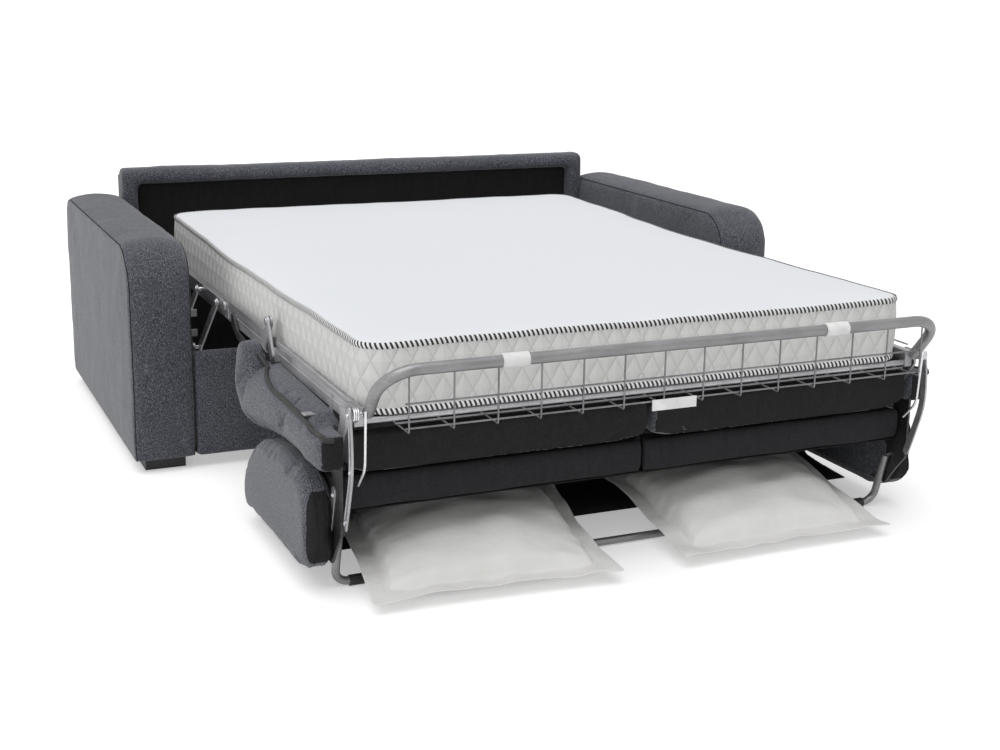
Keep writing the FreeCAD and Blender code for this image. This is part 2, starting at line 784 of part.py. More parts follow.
# Folded back unit: side wings, side plates, cushions and the pillow pocket
wing_outline = [
    (wing_end + 83, wing_low + 13),
    (wing_end + 120, wing_low),
    (wing_tip - 40, wing_low, 40),
    (wing_tip, wing_low + 40),
    (wing_tip - 8, wing_low + 79, 300),
    (wing_tip - 262, wing_top - 2),
    (wing_end + 100, wing_top, 100),
    (wing_end, wing_top - 95),
    (wing_end, wing_low + 74, 110),
]
shell_half = wing_inner - plate_thick - fit_gap
for side_name, side_sign in sides():
    start = lane_start(side_sign, wing_inner, wing_thick)
    label = f"back_wing_{side_name}"
    keep(pad(label, start, wing_thick, wing_outline), label)
    outline = [
        (wing_end + 40, wing_low + 40),
        (wing_tip - 60, wing_low + 40),
        (wing_tip - 60, wing_low + 90),
        (wing_tip - 262, wing_top - 20),
        (back_hinge_y + bracket_half, wing_top - 14),
        (back_hinge_y + bracket_half, back_hinge_height, bracket_half),
        (back_hinge_y - bracket_half, back_hinge_height),
        (wing_end - 30, back_hinge_height - 24),
        (wing_end - 30, leg_pivot_height + 10),
        (wing_end + 4, leg_pivot_height - 30),
    ]
    holes = [(leg_pivot_y, leg_pivot_height, pin_radius + fit_gap)]
    start = lane_start(side_sign, wing_inner - plate_thick, plate_thick)
    label = f"back_side_plate_{side_name}"
    keep(pad(label, start, plate_thick, outline, holes), label)
    shell_outline = [
        (wing_end + 15, band_low),
        (pocket_wall_y, band_low),
        (pocket_wall_y + 20, wing_low + 20),
        (wing_tip - 36, wing_low + 8, 36),
        (wing_tip, wing_low + 44),
        (wing_tip - 8, wing_low + 79, 300),
        (wing_tip - 262, wing_top - 2),
        (wing_end + 40, wing_top - 2, 30),
        (wing_end + 15, wing_top - 24),
    ]
    start = lane_start(side_sign, cushion_split, shell_half - cushion_split)
    label = f"back_cushion_{side_name}"
    keep(pad(label, start, shell_half - cushion_split, shell_outline), label)
band_board_low = (-shell_half, wing_end, band_low)
band_board_high = (shell_half, wing_end + 15 - fit_gap, wing_top - 6)
keep(box("back_lower_board", band_board_low, band_board_high), "back_lower_board")
ceiling_low = (-shell_half, wing_end, band_low - plate_thick)
ceiling_high = (shell_half, pocket_wall_y - 2, band_low - fit_gap)
keep(box("pocket_ceiling_board", ceiling_low, ceiling_high), "pocket_ceiling_board")
pins("back_hinge_pins", [(back_hinge, wing_inner - plate_thick, lane[1] - fit_gap)])


# Bent tubes
def bent_tube(label, half, reach, bend, radius, pivot, tilt):
    """A round tube bent to a U, drawn flat and then tilted about its two pivots."""
    body = doc.addObject("PartDesign::Body", label)
    path = new_sketch(body, "XY_Plane")
    points = [
        (-half, 0),
        (-half, reach - bend, -bend),
        (-half + bend, reach),
        (half - bend, reach, -bend),
        (half, reach - bend),
        (half, 0),
    ]
    draw_outline(path, points, closed=False)
    ring = new_sketch(body, "XZ_Plane")
    draw_circle(ring, (-half, 0), radius)
    doc.recompute()
    pipe = body.newObject("PartDesign::AdditivePipe", label + "_pipe")
    pipe.Profile = ring
    pipe.Spine = path
    return place(body, 0, pivot[0], pivot[1], turn=tilt)


guard = bent_tube(
    "guard_tube", guard_half_width, guard_reach, guard_bend, guard_radius, guard_pivot, guard_tilt
)
keep(guard, "guard_tube")
pins("guard_hinge_pins", [(guard_pivot, guard_half_width, rail_outer + guard_plate + fit_gap)])
guard_top_y = front_most + guard_radius + clip_wall
guard_top_z = pivot_height + Length(
    guard_reach.value * math.sin(math.radians(guard_tilt.value)),
    f"({guard_reach.text} * sin({guard_tilt.text} * 1 deg))",
)

# Wire basket that hangs from the guard rail
wire_top = guard_top_z - guard_radius - 0.05
wire_count = 14
wires = []
edge_x = wire_pitch * (wire_count - 1) / 2
wire_drop = wire_top - basket_low - wire_radius
for index in range(wire_count):
    label = f"wire_hook_{index}"
    body = doc.addObject("PartDesign::Body", label)
    path = new_sketch(body, "YZ_Plane")
    bend_start = (0, wire_bend - wire_drop, wire_bend)
    bend_end = (wire_bend, -wire_drop)
    route = [(0, 0), bend_start, bend_end, (basket_depth, -wire_drop)]
    draw_outline(path, route, closed=False)
    ring = new_sketch(body, "XY_Plane")
    draw_circle(ring, (0, 0), wire_radius)
    doc.recompute()
    pipe = body.newObject("PartDesign::AdditivePipe", label + "_pipe")
    pipe.Profile = ring
    pipe.Spine = path
    wires.append(place(body, wire_pitch * index - edge_x, guard_top_y, wire_top))
behind = guard_top_y + wire_radius * 1.6
above = basket_low + wire_radius * 2.6
long_wires = (
    (behind, basket_low + basket_middle),
    (behind, above + wire_bend),
    (guard_top_y + basket_depth * 0.7, above),
)
for index, (wire_y, wire_z) in enumerate(long_wires):
    spot = (-edge_x - wire_radius * 3, wire_y, wire_z)
    wires.append(bar(f"wire_long_{index}", spot, edge_x * 2 + wire_radius * 6, wire_radius, "x"))
keep(fuse("wire_basket", wires), "wire_basket")
clips = []
clip_radius = guard_radius + clip_wall
for index, clip_x in enumerate((-440, 365)):
    spot = (clip_x, guard_top_y, guard_top_z)
    sleeve = bar(f"clip_outer_{index}", spot, clip_width, clip_radius)
    spot = (clip_x - 1, guard_top_y, guard_top_z)
    bore = bar(f"clip_bore_{index}", spot, clip_width + 2, guard_radius + 0.05)
    clips.append(cut(f"clip_{index}", sleeve, [bore]))
group("guard_clips", clips)
tag_low = (-80, guard_top_y - 6, basket_low - 8)
tag_high = (30, guard_top_y - wire_radius - 0.1, basket_low + 16)
keep(box("basket_plate", tag_low, tag_high), "basket_plate")

# Leg frame under the folded back
leg = bent_tube("leg_frame", leg_half_width, leg_drop, leg_bend, leg_tube_radius, leg_pivot, leg_tilt)
keep(leg, "leg_frame")
leg_pins = []
for side_name, side_sign in sides():
    length = wing_inner - leg_half_width - fit_gap
    spot = (lane_start(side_sign, leg_half_width, length), *leg_pivot)
    leg_pins.append(bar(f"leg_pin_{side_name}", spot, length, pin_radius))
group("leg_hinge_pins", leg_pins)
leg_foot_y = leg_pivot_y + Length(
    leg_drop.value * math.cos(math.radians(leg_tilt.value)),
    f"({leg_drop.text} * cos({leg_tilt.text} * 1 deg))",
)
leg_foot_z = leg_pivot_height + Length(
    leg_drop.value * math.sin(math.radians(leg_tilt.value)),
    f"({leg_drop.text} * sin({leg_tilt.text} * 1 deg))",
)
sleeves = []
for side_name, side_sign in sides():
    sleeve_x = lane_start(side_sign, leg_half_width - leg_bend - sleeve_length, sleeve_length)
    outer = bar(f"sleeve_outer_{side_name}", (sleeve_x, leg_foot_y, leg_foot_z), sleeve_length, sleeve_radius)
    spot = (sleeve_x - 1, leg_foot_y, leg_foot_z)
    bore = bar(f"sleeve_bore_{side_name}", spot, sleeve_length + 2, leg_tube_radius + 0.05)
    sleeves.append(cut(f"sleeve_{side_name}", outer, [bore]))
group("leg_rubber_sleeves", sleeves)


# Mattress in the three lengths that the deck folds it to
def mattress_part(label, y0, y1, rounded=None):
    top = deck_top + mattress_thick
    outline = [(y0, deck_top), (y1, deck_top), (y1, top), (y0, top)]
    body = pad(label, -mattress_width / 2, mattress_width, outline)
    if rounded is not None:

        def corner(edge):
            box_of = edge.BoundBox
            upright = box_of.ZLength > 10 and box_of.XLength < 0.01 and box_of.YLength < 0.01
            return upright and abs(box_of.YMin - rounded.value) < 0.1

        round_off(body, mattress_corner, corner)
    keep(body, label)


mattress_part("mattress_head", fold_rear + fit_gap, mattress_rear, mattress_rear)
mattress_part("mattress_middle", fold_front + fit_gap, fold_rear)
mattress_part("mattress_foot", mattress_front, fold_front, mattress_front)

# Pillows, half in the pocket and over the leg frame
pillow_seats = (("left", pillow_left, sleeve_radius), ("right", pillow_right, leg_tube_radius))
for side_name, centre, seat_radius in pillow_seats:
    over_tube = leg_foot_z + seat_radius + fit_gap
    outline = [
        (pillow_front, fit_gap),
        (leg_foot_y - 60, fit_gap),
        (leg_foot_y - 26, over_tube),
        (pillow_front + pillow_length, over_tube),
        (pillow_front + pillow_length, over_tube + pillow_thick),
        (leg_foot_y - 30, over_tube + pillow_thick, 700),
        (pillow_front, 16),
    ]
    label = f"pillow_{side_name}"
    keep(pad(label, centre - pillow_width / 2, pillow_width, outline), label)

doc.recompute()
problems = []
for thing in doc.Objects:
    if "Invalid" in thing.State or "Error" in thing.State:
        problems.append(f"{thing.Label}: {thing.State}")
for thing in nodes:
    if thing.Shape.isNull() or not thing.Shape.isValid():
        problems.append(f"{thing.Label}: bad shape")
if problems:
    raise RuntimeError("; ".join(problems))
os.makedirs("parts", exist_ok=True)
for thing in nodes:
    thing.Shape.exportStep(f"parts/{thing.Label}.step")
print(len(nodes), "nodes written")
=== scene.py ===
import math

import bmesh
import bpy
from mathutils import Matrix, Vector, noise
from mathutils.bvhtree import BVHTree


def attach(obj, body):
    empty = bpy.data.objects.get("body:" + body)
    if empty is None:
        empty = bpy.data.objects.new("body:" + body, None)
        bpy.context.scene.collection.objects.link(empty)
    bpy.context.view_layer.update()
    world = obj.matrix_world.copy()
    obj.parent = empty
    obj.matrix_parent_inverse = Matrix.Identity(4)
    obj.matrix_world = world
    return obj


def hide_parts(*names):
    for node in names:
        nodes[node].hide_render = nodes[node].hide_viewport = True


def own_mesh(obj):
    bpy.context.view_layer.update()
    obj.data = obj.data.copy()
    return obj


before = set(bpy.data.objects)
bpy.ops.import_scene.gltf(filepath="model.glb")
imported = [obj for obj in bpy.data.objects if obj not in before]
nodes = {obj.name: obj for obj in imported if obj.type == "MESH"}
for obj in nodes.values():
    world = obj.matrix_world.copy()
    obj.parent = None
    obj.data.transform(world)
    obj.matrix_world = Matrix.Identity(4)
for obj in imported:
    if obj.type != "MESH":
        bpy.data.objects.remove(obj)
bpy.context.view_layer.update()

# The side view is drawn with y counted to the rear from the front of the arms
SHIFT = 0.0531

MATTRESS_HALF = 0.6995
MATTRESS_FRONT = -1.048
MATTRESS_REAR = 0.856
DECK = 0.4215
MATTRESS_THICK = 0.157
MATTRESS_TOP = 0.5785
MATTRESS_ROUND = 0.07
FOLDS = (-0.43, 0.1)
CUSHION_SIDE = 0.8
WING_INNER = 0.746
INNER_HALF = 0.822
ARM_WIDTH = 0.168
ARM_DEPTH = 1.08
ARM_HEIGHT = 0.62


# Materials

def new_material(name, roughness, metallic=0.0):
    material = bpy.data.materials.new(name)
    material.use_nodes = True
    shader = material.node_tree.nodes["Principled BSDF"]
    shader.inputs["Roughness"].default_value = roughness
    shader.inputs["Metallic"].default_value = metallic
    return material, material.node_tree, shader


def fill_sockets(tree, pairs):
    for socket, value in pairs:
        if isinstance(value, bpy.types.NodeSocket):
            tree.links.new(value, socket)
        else:
            socket.default_value = value


def add_node(tree, kind, inputs=None, **settings):
    node = tree.nodes.new(kind)
    for name, value in settings.items():
        setattr(node, name, value)
    fill_sockets(tree, [(node.inputs[name], value) for name, value in (inputs or {}).items()])
    return node


def ramp(tree, factor, stops):
    node = add_node(tree, "ShaderNodeValToRGB", {"Fac": factor})
    points = node.color_ramp.elements
    while len(points) < len(stops):
        points.new(0.5)
    for point, (at, color) in zip(points, stops):
        point.position = at
        point.color = (*color, 1)
    return node.outputs["Color"]


def object_place(tree):
    return add_node(tree, "ShaderNodeTexCoord").outputs["Object"]


def noise_of(tree, place, scale, detail, roughness):
    values = {"Vector": place, "Scale": scale, "Detail": detail, "Roughness": roughness}
    return add_node(tree, "ShaderNodeTexNoise", values).outputs["Fac"]


def stretched(tree, place, scale):
    node = add_node(tree, "ShaderNodeMapping", {"Vector": place, "Scale": scale})
    return node.outputs["Vector"]


def calc(tree, operation, first, second=0.0):
    node = add_node(tree, "ShaderNodeMath", operation=operation)
    fill_sockets(tree, zip(node.inputs, (first, second)))
    return node.outputs[0]


def weighted(tree, first, share, second, rest):
    return calc(tree, "ADD", calc(tree, "MULTIPLY", first, share), calc(tree, "MULTIPLY", second, rest))


def mixed(tree, factor, first, second, blend="MIX"):
    node = add_node(tree, "ShaderNodeMix", data_type="RGBA", blend_type=blend)
    fill_sockets(tree, ((node.inputs[0], factor), (node.inputs[6], first), (node.inputs[7], second)))
    return node.outputs[2]


def bump(tree, shader, height, strength, distance, under=None):
    values = {"Height": height, "Strength": strength, "Distance": distance}
    if under is not None:
        values["Normal"] = under
    node = add_node(tree, "ShaderNodeBump", values)
    tree.links.new(node.outputs["Normal"], shader.inputs["Normal"])
    return node.outputs["Normal"]


def heathered_fabric():
    """Blue-grey cloth of mixed dark and pale yarns, with fine slubs."""
    material, tree, shader = new_material("heathered_fabric", 0.92)
    place = object_place(tree)
    fleck = noise_of(tree, place, 560, 3, 0.62)
    slub = noise_of(tree, stretched(tree, place, (1.0, 1.0, 0.7)), 300, 2, 0.55)
    patch = noise_of(tree, place, 5.0, 3, 0.5)
    blend = weighted(tree, fleck, 0.62, slub, 0.38)
    yarn = ramp(tree, blend, [
        (0.36, (0.024, 0.025, 0.031)),
        (0.45, (0.050, 0.053, 0.064)),
        (0.54, (0.108, 0.113, 0.132)),
        (0.64, (0.285, 0.297, 0.338)),
    ])
    shade = ramp(tree, patch, [(0.3, (0.86, 0.86, 0.88)), (0.7, (1.08, 1.08, 1.08))])
    tree.links.new(mixed(tree, 1.0, yarn, shade, "MULTIPLY"), shader.inputs["Base Color"])
    shader.inputs["Sheen Weight"].default_value = 0.35
    shader.inputs["Sheen Roughness"].default_value = 0.45
    shader.inputs["Specular IOR Level"].default_value = 0.2
    weave = bump(tree, shader, blend, 0.75, 0.0016)
    puff = noise_of(tree, place, 14, 2, 0.5)
    bump(tree, shader, puff, 0.25, 0.004, weave)
    return material


def lining_fabric(name, dark, light):
    material, tree, shader = new_material(name, 0.95)
    place = object_place(tree)
    grain = noise_of(tree, place, 420, 2, 0.6)
    streak = noise_of(tree, stretched(tree, place, (1.0, 1.0, 0.3)), 60, 2, 0.5)
    blend = weighted(tree, grain, 0.8, streak, 0.2)
    color = ramp(tree, blend, [(0.38, dark), (0.62, light)])
    tree.links.new(color, shader.inputs["Base Color"])
    shader.inputs["Specular IOR Level"].default_value = 0.15
    weave = bump(tree, shader, blend, 0.5, 0.0008)
    crease = noise_of(tree, stretched(tree, place, (1.0, 1.0, 2.2)), 6, 3, 0.5)
    bump(tree, shader, crease, 0.5, 0.012, weave)
    return material


def metal(name, dark, light, roughness, along=(1.0, 1.0, 1.0), metallic=0.9):
    material, tree, shader = new_material(name, roughness, metallic)
    place = object_place(tree)
    streak = noise_of(tree, stretched(tree, place, along), 160, 3, 0.6)
    stain = noise_of(tree, place, 9, 4, 0.6)
    blend = weighted(tree, streak, 0.45, stain, 0.55)
    color = ramp(tree, blend, [(0.35, dark), (0.65, light)])
    tree.links.new(color, shader.inputs["Base Color"])
    rough = calc(tree, "ADD", calc(tree, "MULTIPLY", stain, 0.25), roughness - 0.1)
    tree.links.new(rough, shader.inputs["Roughness"])
    bump(tree, shader, streak, 0.12, 0.0006)
    return material


def moulded(name, color, roughness, grain_scale=900):
    material, tree, shader = new_material(name, roughness)
    place = object_place(tree)
    grain = noise_of(tree, place, grain_scale, 2, 0.5)
    dust = noise_of(tree, place, 22, 4, 0.6)
    pale = tuple(min(1.0, part * 1.25 + 0.012) for part in color)
    tree.links.new(ramp(tree, dust, [(0.4, color), (0.75, pale)]), shader.inputs["Base Color"])
    bump(tree, shader, grain, 0.35, 0.0003)
    return material


def plywood():
    material, tree, shader = new_material("plywood", 0.75)
    place = object_place(tree)
    rings = noise_of(tree, stretched(tree, place, (1.2, 14, 14)), 9, 5, 0.6)
    stops = [(0.3, (0.42, 0.27, 0.15)), (0.55, (0.58, 0.41, 0.25)), (0.75, (0.66, 0.50, 0.33))]
    tree.links.new(ramp(tree, rings, stops), shader.inputs["Base Color"])
    bump(tree, shader, rings, 0.2, 0.0008)
    return material


def surface_place(tree):
    """Coordinates that were laid on the mesh along and across the piece, in metres."""
    node = add_node(tree, "ShaderNodeUVMap", uv_map="lay")
    parts = add_node(tree, "ShaderNodeSeparateXYZ", {"Vector": node.outputs["UV"]})
    return parts.outputs["X"], parts.outputs["Y"]


def ticking():
    """White knitted cloth, with a quilted border where the mesh carries border coordinates, and painted shade
    in the quilting grooves.
    """
    material, tree, shader = new_material("mattress_ticking", 0.85)
    place = object_place(tree)
    along, up = surface_place(tree)
    wide, tall = 0.046, 0.078
    columns, rows = calc(tree, "DIVIDE", along, wide), calc(tree, "DIVIDE", up, tall)
    lines = []
    for operation in ("ADD", "SUBTRACT"):
        wave = calc(tree, "FRACT", calc(tree, operation, columns, rows))
        away = calc(tree, "ABSOLUTE", calc(tree, "SUBTRACT", wave, 0.5))
        lines.append(calc(tree, "SUBTRACT", 0.5, away))
    nearest = calc(tree, "MINIMUM", lines[0], lines[1])
    puff = calc(tree, "POWER", calc(tree, "MULTIPLY", nearest, 2.0), 0.6)
    on_border = calc(tree, "GREATER_THAN", up, 0.001)
    quilt = calc(tree, "MULTIPLY", puff, on_border)
    ripple = noise_of(tree, stretched(tree, place, (26, 26, 3.2)), 1.6, 3, 0.55)
    ripple = calc(tree, "MULTIPLY", ripple, on_border)
    knit = noise_of(tree, stretched(tree, place, (1, 1, 0.6)), 520, 2, 0.6)
    tint = mixed(tree, on_border, (0.82, 0.84, 0.875, 1), (0.74, 0.74, 0.725, 1))
    # Painted shade: the border cloth is darker down in the quilting grooves, along the stitched lines.
    groove_shade = ramp(tree, quilt, [(0.0, (0.93, 0.93, 0.93)), (0.3, (1.0, 1.0, 1.0))])
    plain = calc(tree, "SUBTRACT", 1.0, on_border)
    groove_shade = mixed(tree, plain, groove_shade, (1.0, 1.0, 1.0, 1.0))
    tree.links.new(mixed(tree, 1.0, tint, groove_shade, "MULTIPLY"), shader.inputs["Base Color"])
    shader.inputs["Specular IOR Level"].default_value = 0.25
    shader.inputs["Sheen Weight"].default_value = 0.2
    base = bump(tree, shader, knit, 0.25, 0.0005)
    soft = bump(tree, shader, ripple, 0.55, 0.006, base)
    bump(tree, shader, quilt, 0.8, 0.006, soft)
    return material


def striped_tape():
    """Edge tape woven in slanted black and white bars."""
    material, tree, shader = new_material("striped_tape", 0.8)
    along, across = surface_place(tree)
    bar_pitch, lean = 0.0112, 38.0
    slant = calc(tree, "ADD", calc(tree, "DIVIDE", along, bar_pitch), calc(tree, "MULTIPLY", across, lean))
    bar = calc(tree, "FRACT", slant)
    away = calc(tree, "ABSOLUTE", calc(tree, "SUBTRACT", bar, 0.5))
    color = ramp(tree, away, [(0.21, (0.012, 0.012, 0.014)), (0.27, (0.86, 0.86, 0.86))])
    tree.links.new(color, shader.inputs["Base Color"])
    bump(tree, shader, away, 0.5, 0.0015)
    return material


def cotton():
    material, tree, shader = new_material("pillow_cotton", 0.85)
    place = object_place(tree)
    weave = noise_of(tree, place, 620, 2, 0.6)
    crease = noise_of(tree, stretched(tree, place, (1.0, 1.6, 1.0)), 7, 4, 0.62)
    # Painted shade: the cotton is darker down in its creases and paler on their ridges.
    crease_shade = ramp(tree, crease, [(0.3, (0.80, 0.795, 0.775)), (0.7, (0.86, 0.855, 0.84))])
    tree.links.new(crease_shade, shader.inputs["Base Color"])
    shader.inputs["Specular IOR Level"].default_value = 0.2
    shader.inputs["Sheen Weight"].default_value = 0.15
    fine = bump(tree, shader, weave, 0.3, 0.0004)
    bump(tree, shader, crease, 0.5, 0.014, fine)
    return material


FABRIC = heathered_fabric()
# Dark lining cloth, also painted on the folded back's pad ends, undersides and pocket walls as painted shade.
LINING_AND_SHADE = lining_fabric("dark_lining", (0.016, 0.016, 0.017), (0.028, 0.028, 0.029))
BAND = lining_fabric("band_fabric", (0.020, 0.020, 0.022), (0.034, 0.034, 0.037))
STEEL = metal("grey_steel", (0.30, 0.30, 0.31), (0.50, 0.50, 0.515), 0.36, (1.0, 0.12, 1.0), 0.75)
TUBE = metal("tube_steel", (0.20, 0.20, 0.205), (0.30, 0.30, 0.305), 0.36, (0.1, 1.0, 1.0), 0.7)
DARK_STEEL = metal("dark_steel", (0.035, 0.035, 0.037), (0.085, 0.085, 0.088), 0.45)
BRIGHT = metal("bright_steel", (0.55, 0.55, 0.56), (0.78, 0.78, 0.80), 0.22, metallic=1.0)
WIRE = metal("wire_steel", (0.13, 0.13, 0.135), (0.25, 0.25, 0.26), 0.3, metallic=0.8)
# Painted light: a paler copy of the grey steel for the deck ladders, lifting them out of the shadow they lie
# in.
PAINTED_LIGHT_STEEL = metal("painted_light_steel", (0.50, 0.50, 0.51), (0.66, 0.66, 0.67), 0.4, metallic=0.3)
# Black rubber, also painted into the seat notch as painted shade.
RUBBER_AND_SHADE = moulded("black_rubber", (0.012, 0.012, 0.012), 0.65)
FOOT = moulded("foot_plastic", (0.008, 0.008, 0.009), 0.5, 500)
WHITE = moulded("white_plastic", (0.74, 0.74, 0.735), 0.4)
WOOD = plywood()
TICKING = ticking()
TAPE = striped_tape()
COTTON = cotton()


# Mesh helpers

def at_row(point):
    return Vector((point[0], point[1] + SHIFT, point[2]))


def from_row(spot):
    return Vector((spot.x, spot.y - SHIFT, spot.z))


def place_object(name, data):
    item = bpy.data.objects.new(name, data)
    bpy.context.scene.collection.objects.link(item)
    return item


def shade(mesh, smooth=True):
    mesh.polygons.foreach_set("use_smooth", [smooth] * len(mesh.polygons))


def make_object(name, vertices, faces, material, smooth=True):
    mesh = bpy.data.meshes.new(name)
    mesh.from_pydata([tuple(at_row(point)) for point in vertices], [], faces)
    mesh.update()
    item = place_object(name, mesh)
    mesh.materials.append(material)
    shade(mesh, smooth)
    return item


def outward(item):
    shape = bmesh.new()
    shape.from_mesh(item.data)
    bmesh.ops.recalc_face_normals(shape, faces=shape.faces)
    shape.to_mesh(item.data)
    shape.free()
    return item


def rotation(angle):
    sine, cosine = math.sin(angle), math.cos(angle)
    return Matrix(((cosine, -sine), (sine, cosine)))


def arc_outline(points, step):
    """Side-view outline; a third value is the radius of the arc to the next point, bulging to the right."""
    result = []
    for index, point in enumerate(points):
        following = points[(index + 1) % len(points)]
        start, end = Vector(point[:2]), Vector(following[:2])
        run = end - start
        if len(point) == 2:
            count = max(1, int(run.length / step))
            result += [start + run * (part / count) for part in range(count)]
            continue
        radius = max(point[2], run.length / 2)
        normal = Vector((run.y, -run.x)).normalized()
        depth = math.sqrt(radius ** 2 - (run.length / 2) ** 2)
        centre = start + run / 2 - normal * depth
        first, last = start - centre, end - centre
        turn = math.atan2(first.x * last.y - first.y * last.x, first.dot(last))
        count = max(3, int(abs(turn) * radius / step * 1.6))
        for part in range(count):
            result.append(centre + rotation(turn * part / count) @ first)
    return result


def curve_point(a, b, c, d, t):
    """A point of the smooth line from b to c, with its neighbours a and d."""
    bend, twist = 2 * a - 5 * b + 4 * c - d, 3 * b - a - 3 * c + d
    return 0.5 * (2 * b + (c - a) * t + bend * t ** 2 + twist * t ** 3)


def spline_outline(points, step):
    """Smooth closed outline through the given points."""
    result = []
    count = len(points)
    for index in range(count):
        a, b, c, d = (Vector(points[(index + offset) % count]) for offset in (-1, 0, 1, 2))
        parts = max(2, int((c - b).length / step))
        result += [curve_point(a, b, c, d, part / parts) for part in range(parts)]
    return result


def prism(name, outline, x0, x1, material):
    """A closed solid with a side-view outline, from x0 to x1."""
    count = len(outline)
    vertices = [(x0, y, z) for y, z in outline] + [(x1, y, z) for y, z in outline]
    faces = [tuple(range(count)), tuple(range(2 * count - 1, count - 1, -1))]
    for index in range(count):
        following = (index + 1) % count
        faces.append((index, index + count, following + count, following))
    return outward(make_object(name, vertices, faces, material, False))


def apply_modifiers(item):
    graph = bpy.context.evaluated_depsgraph_get()
    mesh = bpy.data.meshes.new_from_object(item.evaluated_get(graph))
    item.modifiers.clear()
    old = item.data
    item.data = mesh
    bpy.data.meshes.remove(old)


def join(first, *others):
    """Several meshes in one object, their materials and laid coordinates kept."""
    chosen = [first, *others]
    with bpy.context.temp_override(active_object=first, object=first, selected_editable_objects=chosen):
        bpy.ops.object.join()
    return first


def block(name, low, high, material):
    corners = [(x, y, z) for x in (low[0], high[0]) for y in (low[1], high[1]) for z in (low[2], high[2])]
    faces = [(0, 1, 3, 2), (4, 6, 7, 5), (0, 4, 5, 1), (2, 3, 7, 6), (0, 2, 6, 4), (1, 5, 7, 3)]
    return outward(make_object(name, corners, faces, material, False))


def carve(item, low, high):
    """Takes a block out of a closed mesh."""
    tool = block("carve_tool", low, high, LINING_AND_SHADE)
    cutter = item.modifiers.new("cut", "BOOLEAN")
    cutter.operation = "DIFFERENCE"
    cutter.solver = "EXACT"
    cutter.object = tool
    apply_modifiers(item)
    bpy.data.objects.remove(tool)


def remesh(item, voxel):
    change = item.modifiers.new("remesh", "REMESH")
    change.mode = "VOXEL"
    change.voxel_size = voxel
    apply_modifiers(item)


def relax(item, times):
    shape = bmesh.new()
    shape.from_mesh(item.data)
    for _ in range(times):
        bmesh.ops.smooth_vert(
            shape, verts=shape.verts, factor=0.5, use_axis_x=True, use_axis_y=True, use_axis_z=True
        )
    shape.to_mesh(item.data)
    shape.free()
    shade(item.data)


def push(item, rule):
    """Moves each vertex along its normal by what the rule gives, in metres."""
    mesh = item.data
    normals = [vertex.normal.copy() for vertex in mesh.vertices]
    for vertex, normal in zip(mesh.vertices, normals):
        vertex.co += normal * rule(from_row(vertex.co), normal)
    mesh.update()


def smooth_noise(spot, scale, seed=0.0):
    x, y, z = (part * scale for part in spot)
    return noise.noise(Vector((x + seed, y + seed * 1.7, z - seed)))


def inflate(item, pressure, most):
    """Lets air pressure fill a closed cloth skin, and keeps each point within reach of where it was."""
    frames = 20
    start = [vertex.co.copy() for vertex in item.data.vertices]
    cloth = item.modifiers.new("cloth", "CLOTH")
    settings = {
        "use_pressure": True, "uniform_pressure_force": pressure, "quality": 4, "mass": 0.3,
        "tension_stiffness": 12, "compression_stiffness": 12, "bending_stiffness": 0.6,
    }
    for name, value in settings.items():
        setattr(cloth.settings, name, value)
    cloth.settings.effector_weights.gravity = 0
    cloth.point_cache.frame_end = frames
    scene = bpy.context.scene
    for number in range(1, frames + 1):
        scene.frame_set(number)
        bpy.context.view_layer.update()
    apply_modifiers(item)
    scene.frame_set(1)
    for vertex, before in zip(item.data.vertices, start):
        move = vertex.co - before
        if move.length > most:
            vertex.co = before + move * (most / move.length)
    item.data.update()


def tube(name, path, radius, material, closed=False, sides=10):
    """A round cord or rod along a line of points."""
    curve = bpy.data.curves.new(name, "CURVE")
    curve.dimensions = "3D"
    curve.bevel_depth = radius
    curve.bevel_resolution = max(1, sides // 4)
    curve.use_fill_caps = True
    spline = curve.splines.new("POLY")
    spline.points.add(len(path) - 1)
    for point, place in zip(spline.points, path):
        point.co = (*at_row(place), 1)
    spline.use_cyclic_u = closed
    holder = place_object(name, curve)
    graph = bpy.context.evaluated_depsgraph_get()
    mesh = bpy.data.meshes.new_from_object(holder.evaluated_get(graph))
    item = place_object(name, mesh)
    bpy.data.objects.remove(holder)
    mesh.materials.clear()
    mesh.materials.append(material)
    shade(mesh)
    return item


def bent_path(points, radius):
    """Straight runs with rounded corners."""
    steps = 6
    result = [Vector(points[0])]
    for before, corner, after in zip(points, points[1:], points[2:]):
        before, corner, after = Vector(before), Vector(corner), Vector(after)
        reach = min(radius, (before - corner).length * 0.45, (after - corner).length * 0.45)
        first = corner + (before - corner).normalized() * reach
        last = corner + (after - corner).normalized() * reach
        for part in range(steps + 1):
            t = part / steps
            result.append(first * (1 - t) ** 2 + corner * 2 * t * (1 - t) + last * t ** 2)
    result.append(Vector(points[-1]))
    return result


def mirrored(item, name):
    """The same piece on the other side of the sofa."""
    copy = item.copy()
    copy.data = item.data.copy()
    copy.name = name
    copy.data.name = name
    bpy.context.scene.collection.objects.link(copy)
    copy.data.transform(Matrix.Diagonal((-1, 1, 1, 1)))
    copy.data.flip_normals()
    return copy


def nearest_rule(outline):
    """Distance from a side-view point to an outline."""
    def away(y, z):
        return min((point[0] - y) ** 2 + (point[1] - z) ** 2 for point in outline) ** 0.5
    return away


def line_on(item, path, lift):
    """Lays a line of points onto the surface of a piece."""
    shape = bmesh.new()
    shape.from_mesh(item.data)
    tree = BVHTree.FromBMesh(shape)
    shape.free()
    result = []
    for place in path:
        spot, normal, _, _ = tree.find_nearest(at_row(place))
        result.append(from_row(spot + normal * lift))
    return result


